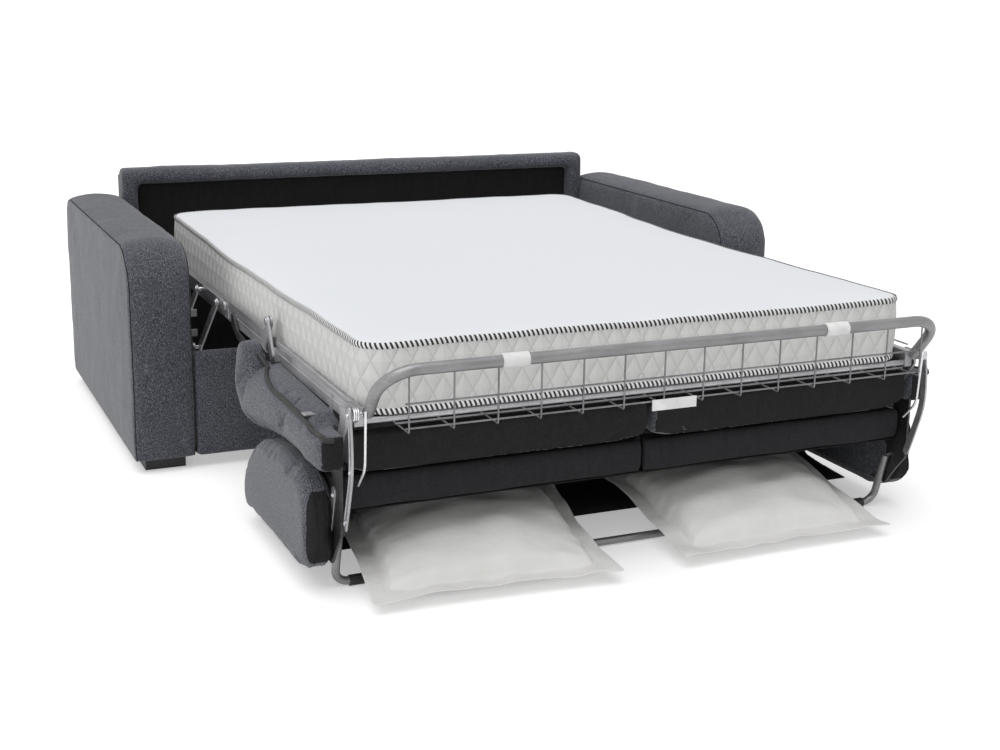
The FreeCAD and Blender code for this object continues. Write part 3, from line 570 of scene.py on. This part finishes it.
def double_skin_faces(columns, rows):
    """Faces of two equal grids, one behind the other, joined round the rim."""
    stride = columns + 1
    layer = stride * (rows + 1)
    faces = []
    for row in range(rows):
        for column in range(columns):
            first = row * stride + column
            faces.append((first, first + 1, first + stride + 1, first + stride))
            behind = (first + stride, first + stride + 1, first + 1, first)
            faces.append(tuple(layer + index for index in behind))
    rim = list(range(columns))
    rim += [row * stride + columns for row in range(rows)]
    rim += [rows * stride + column for column in range(columns, 0, -1)]
    rim += [row * stride for row in range(rows, 0, -1)]
    for start, end in zip(rim, rim[1:] + rim[:1]):
        faces.append((start, start + layer, end + layer, end))
    return faces


def lay_coordinates(item, lays):
    """Gives each face corner its place along and across the piece."""
    layer = item.data.uv_layers.new(name="lay")
    values = [value for corners in lays for value in corners]
    for corner, value in enumerate(values):
        layer.data[corner].uv = value


def dress(item, body, stands_for=None):
    """Says which body carries a piece and the node that it stands for."""
    if stands_for:
        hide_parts(stands_for)
    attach(item, body)


def dress_pair(right_item, left_name, body, node):
    """Mirrors a right-hand pad and dresses both."""
    left_item = mirrored(right_item, left_name)
    for item, side_name in ((right_item, "right"), (left_item, "left")):
        dress(item, body, f"{node}_{side_name}")


# Arms
def arm_outline(inset):
    top, depth = ARM_HEIGHT - inset, ARM_DEPTH - inset
    return arc_outline([
        (inset, 0.033 + inset * 0.3),
        (depth, 0.033 + inset * 0.3),
        (depth, top - 0.09, 0.09 - inset * 0.5),
        (depth - 0.09, top),
        (inset + 0.112, top, 0.112 - inset * 0.5),
        (inset, top - 0.112),
    ], 0.014)


def make_arm(name, side):
    x0, x1 = INNER_HALF + 0.001, INNER_HALF + ARM_WIDTH
    outline = arm_outline(0.002)
    item = prism(name, outline, x0, x1, FABRIC)
    remesh(item, 0.009)
    relax(item, 5)
    middle, half = (x0 + x1) / 2, (x1 - x0) / 2
    away = nearest_rule(outline)

    def rule(spot, normal):
        across = (spot.x - middle) / half
        flat = abs(normal.x)
        crown = 0.012 * max(0.0, 1 - across ** 2) * (1 - flat)
        edge = min(1.0, away(spot.y, spot.z) / 0.13)
        belly = 0.006 * edge * flat
        wave = 0.0022 * smooth_noise(spot, 7.0, 3.1) + 0.0014 * smooth_noise(spot, 19.0, 1.4)
        if spot.y < 0.1:
            crown *= 0.4 + 6 * max(0.0, spot.y)
        if spot.z < 0.06:
            return wave * 0.2
        return crown + belly + wave

    push(item, rule)
    seams = []
    for x in (x0 + 0.004, x1 - 0.004):
        path = [(x, y, z) for y, z in arm_outline(0.008)]
        seams.append(tube("arm_seam", line_on(item, path, 0.0002), 0.0014, LINING_AND_SHADE, True, 6))
    join(item, *seams)
    if side < 0:
        copy = mirrored(item, name)
        bpy.data.objects.remove(item)
        item = copy
        item.name = name
    return item


for side_name, side in (("left", -1), ("right", 1)):
    arm = make_arm(f"padded_arm_{side_name}", side)
    dress(arm, "base", f"arm_cover_{side_name}")

# Front base panel
PANEL_HALF = INNER_HALF - 0.001
panel_outline = arc_outline([
    (0.010, 0.033),
    (0.050, 0.033),
    (0.050, 0.307, 0.019),
    (0.012, 0.307),
], 0.008)
front_panel = prism("front_base_panel", panel_outline, -PANEL_HALF, PANEL_HALF, FABRIC)
remesh(front_panel, 0.008)
relax(front_panel, 3)
push(front_panel, lambda spot, normal: 0.002 * smooth_noise(spot, 6.0, 8.0) + 0.001)
dress(front_panel, "base", "front_panel_cover")

# Fixed back: padded border, lining and rear cover
BACK_TOP = 0.702
back_outline = arc_outline([
    (0.966, 0.036),
    (1.050, 0.036),
    (1.050, BACK_TOP - 0.02, 0.02),
    (1.030, BACK_TOP),
    (0.986, BACK_TOP, 0.02),
    (0.966, BACK_TOP - 0.02),
], 0.01)
back_border = prism("back_border", back_outline, -PANEL_HALF, PANEL_HALF, FABRIC)
OPENING_HALF = INNER_HALF - 0.045
carve(back_border, (-OPENING_HALF, 0.9, -0.1), (OPENING_HALF, 1.2, BACK_TOP - 0.044))
remesh(back_border, 0.009)
relax(back_border, 5)


def border_rule(spot, normal):
    top = max(0.0, (spot.z - 0.62) / 0.08)
    wave = 0.004 * smooth_noise((spot.x, 0.3, spot.z * 0.3), 4.0, 5.0)
    return 0.003 + wave * top + 0.0012 * smooth_noise(spot, 24.0, 2.0)


push(back_border, border_rule)
dress(back_border, "base", "back_border_pad")


def wall_grid(name, half, heights, y, depth, material, seed):
    """A thin upright cloth panel with soft waves."""
    columns, rows = 90, 40
    z0, z1 = heights
    vertices = []
    for back in (0, 1):
        for row in range(rows + 1):
            for column in range(columns + 1):
                x = -half + 2 * half * column / columns
                z = z0 + (z1 - z0) * row / rows
                wave = 0.0035 * smooth_noise((x * 0.7, 0, z), 6.0, seed)
                wave += 0.0015 * smooth_noise((x, 0, z), 22, seed)
                edge = min(row, rows - row, column, columns - column) / 4
                vertices.append((x, y + depth * back - wave * min(1, edge) * (1 - back), z))
    return outward(make_object(name, vertices, double_skin_faces(columns, rows), material))


LINING_HALF = INNER_HALF - 0.04
lining = wall_grid("back_lining", LINING_HALF, (0.038, BACK_TOP - 0.042), 1.008, 0.04, LINING_AND_SHADE, 0.0)
dress(lining, "base", stands_for="back_lining_panel")
rear_cover = wall_grid("back_rear_cover", PANEL_HALF, (0.037, BACK_TOP - 0.024), 1.0505, 0.016, FABRIC, 4.0)
dress(rear_cover, "base", stands_for="back_rear_board")


# Mattress
def perimeter(inset):
    """Rounded rectangle of the mattress seen from above."""
    count_corner, step = 14, 0.02
    half = MATTRESS_HALF - inset
    front, rear = MATTRESS_FRONT + inset, MATTRESS_REAR - inset
    radius = max(0.012, MATTRESS_ROUND - inset)
    corners = [
        (half - radius, front + radius, -90),
        (half - radius, rear - radius, 0),
        (-half + radius, rear - radius, 90),
        (-half + radius, front + radius, 180),
    ]
    runs = []
    for index, (x, y, angle) in enumerate(corners):
        for part in range(count_corner + 1):
            turn = math.radians(angle + 90 * part / count_corner)
            runs.append((x + radius * math.cos(turn), y + radius * math.sin(turn)))
        following = corners[(index + 1) % 4]
        turn = math.radians(angle + 90)
        start = runs[-1]
        end = (following[0] + radius * math.cos(turn), following[1] + radius * math.sin(turn))
        full = (2 * MATTRESS_HALF, MATTRESS_REAR - MATTRESS_FRONT)[index % 2 == 0]
        pieces = int(full / step)
        for part in range(1, pieces):
            t = part / pieces
            runs.append((start[0] + (end[0] - start[0]) * t, start[1] + (end[1] - start[1]) * t))
    return runs


def edge_wave(x, y):
    """Height of the top edge above its plain level, with a soft dip along each side."""
    along = (y - MATTRESS_FRONT) / (MATTRESS_REAR - MATTRESS_FRONT)
    near_side = min(1.0, abs(x) / MATTRESS_HALF) ** 3
    dip = -0.014 * math.sin(math.pi * min(1.0, max(0.0, along))) ** 1.5 * near_side
    return dip + 0.0045 * smooth_noise((x, y, 0), 3.2, 6.0) + 0.002 * smooth_noise((x, y, 0), 9.0, 2.0)


def mattress_shell():
    """One mattress skin with border coordinates, before it is parted at the folds."""
    base = perimeter(0.0)
    lengths = [0.0]
    for first, second in zip(base, base[1:] + base[:1]):
        lengths.append(lengths[-1] + math.dist(first, second))
    rings = []
    for height, inset, lay in (
        (0.0, 0.012, 0.0), (0.0005, 0.006, 0.001), (0.004, 0.003, 0.004),
        (0.02, 0.0015, 0.02), (0.045, -0.001, 0.045), (0.078, -0.002, 0.078), (0.112, -0.001, 0.112),
        (0.137, 0.0015, 0.137), (0.152, 0.003, 0.152),
        (0.1565, 0.008, 0.156),
    ):
        ring = []
        for (x, y), (bx, by) in zip(perimeter(inset), base):
            wave = edge_wave(bx, by) * (height / MATTRESS_THICK) ** 2
            ring.append((x, y, DECK + height + wave))
        rings.append((ring, lay))
    for inset in (0.02, 0.04, 0.07, 0.11, 0.17, 0.24, 0.32, 0.41, 0.5, 0.58, 0.64, 0.675):
        ring = []
        for (x, y), (bx, by) in zip(perimeter(inset), base):
            fade = math.exp(-inset / 0.12)
            dome = 0.005 * (1 - math.exp(-inset / 0.05))
            soft = 0.003 * smooth_noise((x, y, 0), 2.6, 9.0)
            swell = edge_wave(bx, by) * fade + dome + soft * (1 - fade)
            ring.append((x, y, MATTRESS_TOP - 0.0005 + swell))
        rings.append((ring, 0.0))
    count = len(base)
    vertices, faces, lays = [], [], []
    for ring, _ in rings:
        vertices += ring
    for level in range(len(rings) - 1):
        low, high = rings[level][1], rings[level + 1][1]
        for index in range(count):
            following = (index + 1) % count
            near, far = level * count + index, level * count + following
            faces.append((near, far, far + count, near + count))
            u0, u1 = lengths[index], lengths[index + 1]
            lays.append([(u0, low), (u1, low), (u1, high), (u0, high)] if high > 0 else [(u0, 0)] * 4)
    last = (len(rings) - 1) * count
    faces.append(tuple(last + index for index in range(count)))
    lays.append([(0, 0)] * count)
    faces.append(tuple(range(count - 1, -1, -1)))
    lays.append([(0, 0)] * count)
    item = make_object("mattress_skin", vertices, faces, TICKING)
    lay_coordinates(item, lays)
    return item, base, lengths


def tape_ring(name, base, lengths, height):
    """The striped tape along one edge of the mattress, slightly proud of it."""
    profile = []
    for part in range(9):
        turn = math.radians(-90 + 180 * part / 8)
        profile.append((0.0042 * math.cos(turn), 0.0072 * math.sin(turn)))
    count = len(base)
    vertices, faces, lays = [], [], []
    for index, (x, y) in enumerate(base):
        before, after = base[index - 1], base[(index + 1) % count]
        run = Vector((after[0] - before[0], after[1] - before[1])).normalized()
        away = Vector((run.y, -run.x))
        lift = edge_wave(x, y) * (height / MATTRESS_THICK) ** 2
        for out, up in profile:
            reach = out - 0.0035
            vertices.append((x + away.x * reach, y + away.y * reach, DECK + height + lift + up))
    rows = len(profile)
    for index in range(count):
        following = (index + 1) % count
        for row in range(rows - 1):
            near, far = index * rows + row, following * rows + row
            faces.append((near, far, far + 1, near + 1))
            u0, u1 = lengths[index], lengths[index + 1]
            v0, v1 = profile[row][1] + 0.01, profile[row + 1][1] + 0.01
            lays.append([(u0, v0), (u1, v0), (u1, v1), (u0, v1)])
    item = make_object(name, vertices, faces, TAPE)
    lay_coordinates(item, lays)
    return item


def part_between(source, name, y0, y1, material):
    """The stretch of a piece between two folds, closed at the cuts."""
    shape = bmesh.new()
    shape.from_mesh(source.data)
    for y, keep_above in ((y0, True), (y1, False)):
        if y is None:
            continue
        geometry = shape.verts[:] + shape.edges[:] + shape.faces[:]
        result = bmesh.ops.bisect_plane(
            shape, geom=geometry, dist=1e-6, plane_co=(0, y + SHIFT, 0), plane_no=(0, 1, 0),
            clear_inner=keep_above, clear_outer=not keep_above,
        )
        edges = [item for item in result["geom_cut"] if isinstance(item, bmesh.types.BMEdge)]
        for edge in edges:
            edge.smooth = False
        filled = bmesh.ops.holes_fill(shape, edges=edges, sides=0)
        for face in filled["faces"]:
            face.smooth = False
    mesh = bpy.data.meshes.new(name)
    shape.to_mesh(mesh)
    shape.free()
    item = place_object(name, mesh)
    mesh.materials.append(material)
    return item


skin, mattress_base, mattress_lengths = mattress_shell()
tape_low = tape_ring("tape_low", mattress_base, mattress_lengths, 0.008)
tape_high = tape_ring("tape_high", mattress_base, mattress_lengths, 0.150)
sections = (
    ("foot", "foot_section", None, FOLDS[0]),
    ("middle", "middle_section", FOLDS[0], FOLDS[1]),
    ("head", "head_section", FOLDS[1], None),
)
for part_name, body, y0, y1 in sections:
    piece = part_between(skin, f"soft_mattress_{part_name}", y0, y1, TICKING)
    bands = [part_between(source, "band", y0, y1, TAPE) for source in (tape_low, tape_high)]
    join(piece, *bands)
    dress(piece, body, f"mattress_{part_name}")
    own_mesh(piece)
for item in (skin, tape_low, tape_high):
    bpy.data.objects.remove(item)

# Upturned seat cushions
cushion_outline = arc_outline([
    (-1.046, 0.340, 0.034),
    (-1.010, 0.300),
    (-0.898, 0.302),
    (-0.734, 0.296),
    (-0.505, 0.263, 0.42),
    (-0.435, 0.264, 0.060),
    (-0.380, 0.322),
    (-0.380, 0.410),
    (-0.436, 0.412),
    (-0.444, 0.394),
    (-0.700, 0.392),
    (-1.046, 0.384),
], 0.012)
hook_outline = arc_outline([
    (-0.470, 0.37),
    (-0.380, 0.37),
    (-0.380, 0.418, 0.035),
    (-0.412, 0.455, 0.045),
    (-0.452, 0.440),
    (-0.470, 0.410),
], 0.01)
END_Y = -0.985


def paint(item, material, test):
    """Gives a second material to the faces that the test picks."""
    item.data.materials.append(material)
    index = len(item.data.materials) - 1
    for polygon in item.data.polygons:
        if test(from_row(polygon.center), polygon.normal):
            polygon.material_index = index


def end_or_top(spot, normal):
    on_end = spot.y < END_Y and normal.y < -0.5
    on_top = normal.z > 0.6 and spot.x < 0.72
    return on_end or on_top


# Painted shade: the faces of the carved notch in the seat's front top are made black, as a dark hole.
def notch_shade(spot, normal):
    return 0.66 < spot.x < 0.757 and spot.y > -0.458 and spot.z > 0.332


def make_cushion(name):
    outer = CUSHION_SIDE + 0.003
    item = prism(name, cushion_outline, 0.005, outer, FABRIC)
    hook = prism("hook", hook_outline, 0.752, outer, FABRIC)
    join(item, hook)
    remesh(item, 0.008)
    notch = (0.665, -0.450, 0.335), (0.752, -0.36, 0.48)
    channel = (0.722, -1.08, 0.26), (0.750, -0.95, 0.42)
    carve(item, *notch)
    carve(item, *channel)
    remesh(item, 0.006)
    relax(item, 8)
    inflate(item, 3.0, 0.014)
    paint(item, LINING_AND_SHADE, end_or_top)
    # The notch faces are painted black as painted shade.
    paint(item, RUBBER_AND_SHADE, notch_shade)
    return item


cushion = make_cushion("seat_pad_right")
flap_path = bent_path([
    (0.765, -0.485, 0.44), (0.776, -0.52, 0.42), (0.786, -0.56, 0.408), (0.789, -0.64, 0.396),
    (0.784, -0.74, 0.392), (0.787, -0.86, 0.390), (0.784, -0.96, 0.388), (0.786, -1.02, 0.386),
    (0.780, -1.050, 0.380), (0.762, -1.050, 0.380),
], 0.04)
piping = tube("piping", line_on(cushion, flap_path, 0.0020), 0.0055, RUBBER_AND_SHADE)
join(cushion, piping)
dress_pair(cushion, "seat_pad_left", "foot_section", "seat_cushion")

# Folded back: wings, cushions, black bands and the pocket lining, with painted shade on the pad ends,
# undersides and pocket walls
wing_outline = arc_outline([
    (-0.917, 0.048),
    (-0.88, 0.036),
    (-0.452, 0.036, 0.042),
    (-0.414, 0.074),
    (-0.422, 0.113, 0.3),
    (-0.672, 0.279, 0.6),
    (-0.90, 0.281, 0.1),
    (-0.994, 0.188),
    (-0.994, 0.106, 0.11),
], 0.012)
wing = prism("back_wing_pad_right", wing_outline, WING_INNER + 0.003, CUSHION_SIDE, FABRIC)
remesh(wing, 0.007)
relax(wing, 7)
inflate(wing, 2.6, 0.010)
wing_seams = []
for x in (WING_INNER + 0.012, CUSHION_SIDE - 0.012):
    path = [(x, y, z) for y, z in wing_outline]
    wing_seams.append(tube("wing_seam", line_on(wing, path, 0.0004), 0.0016, FABRIC, True, 6))
join(wing, *wing_seams)
# Painted shade: the wing's rounded front end and its underside take the dark cloth.
paint(wing, LINING_AND_SHADE, lambda spot, normal: spot.y < -0.965 or spot.z < 0.039)
dress_pair(wing, "back_wing_pad_left", "folding_back", "back_wing")

shell_outline = arc_outline([
    (-0.98, 0.206),
    (-0.604, 0.206),
    (-0.584, 0.055),
    (-0.446, 0.044, 0.036),
    (-0.414, 0.078),
    (-0.422, 0.113, 0.3),
    (-0.672, 0.279, 0.6),
    (-0.96, 0.28, 0.03),
    (-0.98, 0.262),
], 0.012)
shell = prism("back_pad_right", shell_outline, 0.006, 0.734, FABRIC)
remesh(shell, 0.009)
relax(shell, 5)
inflate(shell, 1.6, 0.004)


# Painted shade: the pad's underside over the pocket, the pocket's inner wall and the pad's front end take the
# dark cloth.
def pocket_shade(spot, normal):
    ceiling_side = normal.z < -0.5 and spot.y < -0.58
    inner_wall = normal.y < -0.5 and spot.z < 0.2
    return ceiling_side or inner_wall or spot.y < -0.96


paint(shell, LINING_AND_SHADE, pocket_shade)
dress_pair(shell, "back_pad_left", "folding_back", "back_cushion")

band_outline = spline_outline([
    (-0.988, 0.204), (-1.002, 0.212), (-1.006, 0.24), (-1.004, 0.268), (-0.994, 0.281),
    (-0.982, 0.276), (-0.980, 0.24),
], 0.008)
POCKET_HALF = 0.737
bands = (
    ("left", -POCKET_HALF, -0.003, "back_lower_board"),
    ("right", 0.003, POCKET_HALF, None),
)
for side_name, x0, x1, board in bands:
    band = prism(f"pocket_band_{side_name}", band_outline, x0, x1, BAND)
    remesh(band, 0.006)
    relax(band, 3)
    push(band, lambda spot, normal: 0.0022 * smooth_noise(spot, 9.0, 4.0))
    dress(band, "folding_back", board)


def sheet_grid(name, half, path, material):
    """A thin cloth along a side-view line, waving a little between its ends."""
    thick, wave, ends = 0.0022, 0.002, 0.3
    columns, rows = 80, len(path)
    vertices = []
    for back in (0, 1):
        for row, (y, z) in enumerate(path):
            before, after = path[max(0, row - 1)], path[min(rows - 1, row + 1)]
            run = Vector((after[0] - before[0], after[1] - before[1])).normalized()
            free = math.sin(math.pi * row / (rows - 1)) * (1 - ends) + ends * row / (rows - 1)
            for column in range(columns + 1):
                x = -half + 2 * half * column / columns
                shake = wave * free * smooth_noise((x, row * 0.05, 0), 6.0)
                side = thick * back + shake
                vertices.append((x, y - run.y * side, z + run.x * side))
    return outward(make_object(name, vertices, double_skin_faces(columns, rows - 1), material))


ceiling_path = [(-0.992 + 0.39 * part / 24, 0.1985) for part in range(25)]
ceiling = sheet_grid("pocket_ceiling", POCKET_HALF, ceiling_path, LINING_AND_SHADE)
dress(ceiling, "folding_back", stands_for="pocket_ceiling_board")

pocket_floor_path = bent_path([
    (0, -0.603, 0.09), (0, -0.612, 0.05), (0, -0.70, 0.040), (0, -0.80, 0.036),
], 0.05)
floor_line = [(y, z) for _, y, z in pocket_floor_path]
pocket_floor = sheet_grid("pocket_floor", POCKET_HALF, floor_line, LINING_AND_SHADE)
dress(pocket_floor, "folding_back")

# Pillows: side, middle across, turn in degrees, seed of the creases
PILLOWS = (("left", -0.398, -4.0, 2.0), ("right", 0.337, 0.0, 7.0))
PILLOW_MIDDLE = -0.912
FLOOR_TUBE = -0.9286


def make_pillow(name, centre_x, turn, seed):
    """A stuffed pillow with a flat flange, its inner end lifted over the floor tube."""
    half_x, half_y = 0.292, 0.225
    flange = 0.05
    columns, rows = 72, 56

    def stuffed(reach):
        return max(0.0, 1 - min(1.0, reach) ** 2.6) ** 0.42

    vertices = []
    spin = math.radians(turn)
    for layer in (1, -1):
        for row in range(rows + 1):
            v = -1 + 2 * row / rows
            t = (v + 1) / 2
            rise = 0.034 + 0.062 * t * t * (3 - 2 * t)
            for column in range(columns + 1):
                u = -1 + 2 * column / columns
                x = u * half_x * (1 - 0.045 * (1 - v * v) * abs(u) ** 4)
                y = v * half_y * (1 - 0.04 * (1 - u * u) * abs(v) ** 4)
                reach_x = abs(u) * half_x / (half_x - flange)
                reach_y = abs(v) * half_y / (half_y - flange)
                full = stuffed(reach_x) * stuffed(reach_y)
                pinch = math.exp(-((full - 0.3) / 0.2) ** 2)
                around = math.atan2(v * half_y, u * half_x)
                ring = (math.cos(around) * 3, math.sin(around) * 3, seed)
                gather = 0.009 * pinch * smooth_noise(ring, 3.4, seed)
                crease = 0.011 * full * smooth_noise((x, y * 1.8, seed), 9.0, seed + 2)
                from_seam = max(reach_x, reach_y) - 1.0
                seam = -0.004 * math.exp(-(from_seam / 0.03) ** 2) * layer
                hem = 0.009 * (1 - full) * smooth_noise((x, y, seed), 13.0, seed + 4)
                thick = 0.070 * full if layer > 0 else -0.045 * full
                z = rise + thick + crease + gather + hem + seam + layer * 0.0014
                px = centre_x + x * math.cos(spin) - y * math.sin(spin)
                py = PILLOW_MIDDLE + x * math.sin(spin) + y * math.cos(spin)
                over_tube = 0.031 if abs(py - FLOOR_TUBE) < 0.03 else 0.002
                low = over_tube if layer < 0 else over_tube + 0.003
                vertices.append((px, py, max(z, low)))
    item = outward(make_object(name, vertices, double_skin_faces(columns, rows), COTTON))
    finer = item.modifiers.new("finer", "SUBSURF")
    finer.levels = 1
    apply_modifiers(item)
    return item


for side_name, centre_x, turn, seed in PILLOWS:
    pillow = make_pillow(f"soft_pillow_{side_name}", centre_x, turn, seed)
    dress(pillow, "folding_back", f"pillow_{side_name}")
    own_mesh(pillow)


# Small hardware beside the deck
def strip(name, x0, x1, line, width, material):
    """A flat bar with rounded ends that follows a side-view line."""
    left_side, right_side = [], []
    count = len(line)
    for index, (y, z) in enumerate(line):
        before, after = line[max(0, index - 1)], line[min(count - 1, index + 1)]
        run = Vector((after[0] - before[0], after[1] - before[1])).normalized()
        side = Vector((-run.y, run.x)) * width / 2
        left_side.append(Vector((y, z)) + side)
        right_side.append(Vector((y, z)) - side)
    caps = []
    for index, corner in ((0, right_side[0]), (-1, left_side[-1])):
        centre = Vector(line[index])
        caps.append([centre + rotation(-math.pi * part / 6) @ (corner - centre) for part in range(1, 6)])
    outline = left_side + caps[1] + right_side[::-1] + caps[0]
    item = prism(name, outline, x0, x1, material)
    edge = item.modifiers.new("edge", "BEVEL")
    edge.width = 0.0007
    edge.segments = 2
    edge.limit_method = "ANGLE"
    apply_modifiers(item)
    return item


def bolts_at(x0, x1, places):
    """Round bolt heads with a small button each, standing on a side face."""
    radius = 0.0065
    made = []
    for y, z in places:
        made.append(tube("bolt", [(x0, y, z), (x1, y, z)], radius, BRIGHT, sides=16))
        made.append(tube("bolt", [(x1, y, z), (x1 + 0.0012, y, z)], radius * 0.6, BRIGHT, sides=12))
    return made


def coil(name, x0, x1, centre, radius, turns, wire):
    steps = 16 * turns
    path = []
    for part in range(steps + 1):
        angle = 2 * math.pi * turns * part / steps
        x = x0 + (x1 - x0) * part / steps
        path.append((x, centre[0] + radius * math.cos(angle), centre[1] + radius * math.sin(angle)))
    return tube(name, path, wire, BRIGHT, sides=8)


def curve_line(points):
    """Smooth open line through side-view points."""
    steps = 8
    ends = [points[0], *points, points[-1]]
    result = []
    for a, b, c, d in zip(ends, ends[1:], ends[2:], ends[3:]):
        a, b, c, d = Vector(a), Vector(b), Vector(c), Vector(d)
        result += [curve_point(a, b, c, d, part / steps) for part in range(steps)]
    result.append(Vector(points[-1]))
    return result


def rail_beads(y0, y1):
    """The two ridges pressed along the outer face of a deck rail."""
    lines = [[(0.7205, y0, z), (0.7205, y1, z)] for z in (0.4555, 0.4285)]
    return join(*(tube("bead", line, 0.0023, STEEL, sides=8) for line in lines))


def hardware():
    """Right-hand pieces, each with the body that carries it."""
    link_line = curve_line([
        (-1.070, 0.446), (-1.080, 0.38), (-1.079, 0.31), (-1.058, 0.24), (-1.036, 0.180),
    ])
    link_inner, link_outer = 0.7358, 0.7388
    link_bar = strip("drop_link", link_inner, link_outer, link_line, 0.019, STEEL)
    rims = [
        tube("rim", [(link_outer, y + shift, z) for y, z in link_line], 0.0019, STEEL, sides=8)
        for shift in (-0.0085, 0.0085)
    ]
    bolts = bolts_at(link_outer, 0.742, ((-1.068, 0.436), (-1.079, 0.315), (-1.038, 0.19)))
    made = [(join(link_bar, *rims, *bolts), "folding_back")]
    plate_outer = 0.7486
    plate = strip("leg_side_plate", 0.7456, plate_outer, [(-0.986, 0.245), (-0.957, 0.158)], 0.026, STEEL)
    bolts = bolts_at(plate_outer, 0.7512, ((-0.983, 0.237), (-0.960, 0.168)))
    made.append((join(plate, *bolts), "folding_back"))
    rod_x = 0.7115
    rod_line = bent_path([(rod_x, -1.098, 0.452), (rod_x, -1.090, 0.32), (rod_x, -1.046, 0.275)], 0.02)
    made.append((tube("stay_rod", rod_line, 0.0032, BRIGHT, sides=8), "foot_section"))
    spring = coil("guard_spring", 0.7215, 0.7345, (-1.077, 0.440), 0.0135, 3, 0.0019)
    made.append((spring, "guard_rail"))
    made.append((rail_beads(-1.03, -0.46), "foot_section"))
    made.append((rail_beads(-0.33, 0.04), "middle_section"))
    return made


for number, (item, body) in enumerate(hardware()):
    base_name = item.name.split(".")[0]
    item.name = f"{base_name}_{number}_right"
    other = mirrored(item, f"{base_name}_{number}_left")
    dress(item, body)
    dress(other, body)

# Finishes of the pieces that keep their worked shape
finishes = {
    # The ladders take the paler steel as painted light.
    PAINTED_LIGHT_STEEL: ["base_ladders"],
    STEEL: ["base_cross_tubes", "base_side_rails", "strut_carriers", "head_frame", "middle_frame",
            "foot_frame", "middle_extensions", "middle_side_bars", "guard_brackets", "seat_strips",
            "front_strut_left", "front_strut_right", "rear_strut_left", "rear_strut_right",
            "foot_hinge_plates", "middle_hinge_plates", "back_hinge_brackets"],
    TUBE: ["guard_tube", "leg_frame"],
    DARK_STEEL: ["middle_link_bars", "back_side_plate_left", "back_side_plate_right"],
    BRIGHT: ["base_pivot_pins", "middle_hinge_pins", "head_hinge_pins", "back_hinge_pins", "guard_hinge_pins",
             "leg_hinge_pins"],
    WIRE: ["wire_basket"],
    WHITE: ["guard_clips", "basket_plate"],
    FOOT: ["feet"],
    RUBBER_AND_SHADE: ["leg_rubber_sleeves"],
    WOOD: ["arm_frame_left", "arm_frame_right", "head_slats", "middle_slats"],
    LINING_AND_SHADE: ["front_panel_board", "seat_base_board", "foot_slats"],
}
for material, names in finishes.items():
    for name in names:
        mesh = nodes[name].data
        mesh.materials.clear()
        mesh.materials.append(material)

# Floor, light and camera
def seen_rays(tree):
    """1 for the rays that come straight from the lens or off a shiny face."""
    rays = tree.nodes.new("ShaderNodeLightPath").outputs
    return calc(tree, "MAXIMUM", rays["Is Camera Ray"], rays["Is Glossy Ray"])


floor_mesh = bpy.data.meshes.new("floor")
FAR = 30
floor_mesh.from_pydata([(-FAR, -FAR, 0), (FAR, -FAR, 0), (FAR, FAR, 0), (-FAR, FAR, 0)], [], [(0, 1, 2, 3)])
floor = place_object("floor", floor_mesh)
floor_material, tree, shader = new_material("floor_white", 0.9)
shader.inputs["Base Color"].default_value = (0.86, 0.86, 0.86, 1)
shader.inputs["Specular IOR Level"].default_value = 0.0
glow = add_node(tree, "ShaderNodeEmission", {"Color": (1, 1, 1, 1), "Strength": 0.38})
total = tree.nodes.new("ShaderNodeAddShader")
tree.links.new(shader.outputs[0], total.inputs[0])
tree.links.new(glow.outputs[0], total.inputs[1])
seen = seen_rays(tree)
choose = tree.nodes.new("ShaderNodeMixShader")
tree.links.new(seen, choose.inputs[0])
tree.links.new(shader.outputs[0], choose.inputs[1])
tree.links.new(total.outputs[0], choose.inputs[2])
tree.links.new(choose.outputs[0], tree.nodes["Material Output"].inputs["Surface"])
floor_mesh.materials.append(floor_material)

world = bpy.data.worlds.new("studio")
bpy.context.scene.world = world
world.use_nodes = True
tree = world.node_tree
background = tree.nodes["Background"]
background.inputs["Color"].default_value = (1, 1, 1, 1)
seen = seen_rays(tree)
strength = calc(tree, "ADD", calc(tree, "MULTIPLY", seen, 0.6), 0.4)
tree.links.new(strength, background.inputs["Strength"])


def soft_sun(name, toward, strength, spread):
    data = bpy.data.lights.new(name, "SUN")
    data.energy = strength
    data.angle = math.radians(spread)
    lamp = place_object(name, data)
    lamp.rotation_euler = Vector(toward).to_track_quat("-Z", "Y").to_euler()


soft_sun("top_light", (0.25, 0.15, -1), 1.65, 60)
soft_sun("front_light", (0.95, 0.85, -0.6), 0.42, 50)

CAMERA_SPOT = (-1.666, -3.913 + SHIFT, 1.319)
YAW, PITCH, ROLL = math.radians(24.15), math.radians(14.09), math.radians(0.86)
level = math.cos(PITCH)
ahead = Vector((math.sin(YAW) * level, math.cos(YAW) * level, -math.sin(PITCH)))
right = ahead.cross(Vector((0, 0, 1))).normalized()
up = right.cross(ahead)
across = right * math.cos(ROLL) + up * math.sin(ROLL)
upward = up * math.cos(ROLL) - right * math.sin(ROLL)
camera_data = bpy.data.cameras.new("camera")
camera_data.sensor_width = 36
camera_data.lens = 54.06
camera_data.shift_x = -0.0033
camera_data.shift_y = -0.0204
camera = place_object("camera", camera_data)
turned = Matrix((across, upward, -ahead)).transposed().to_4x4()
camera.matrix_world = Matrix.Translation(CAMERA_SPOT) @ turned
bpy.context.scene.camera = camera
bpy.context.scene.view_settings.view_transform = "Standard"
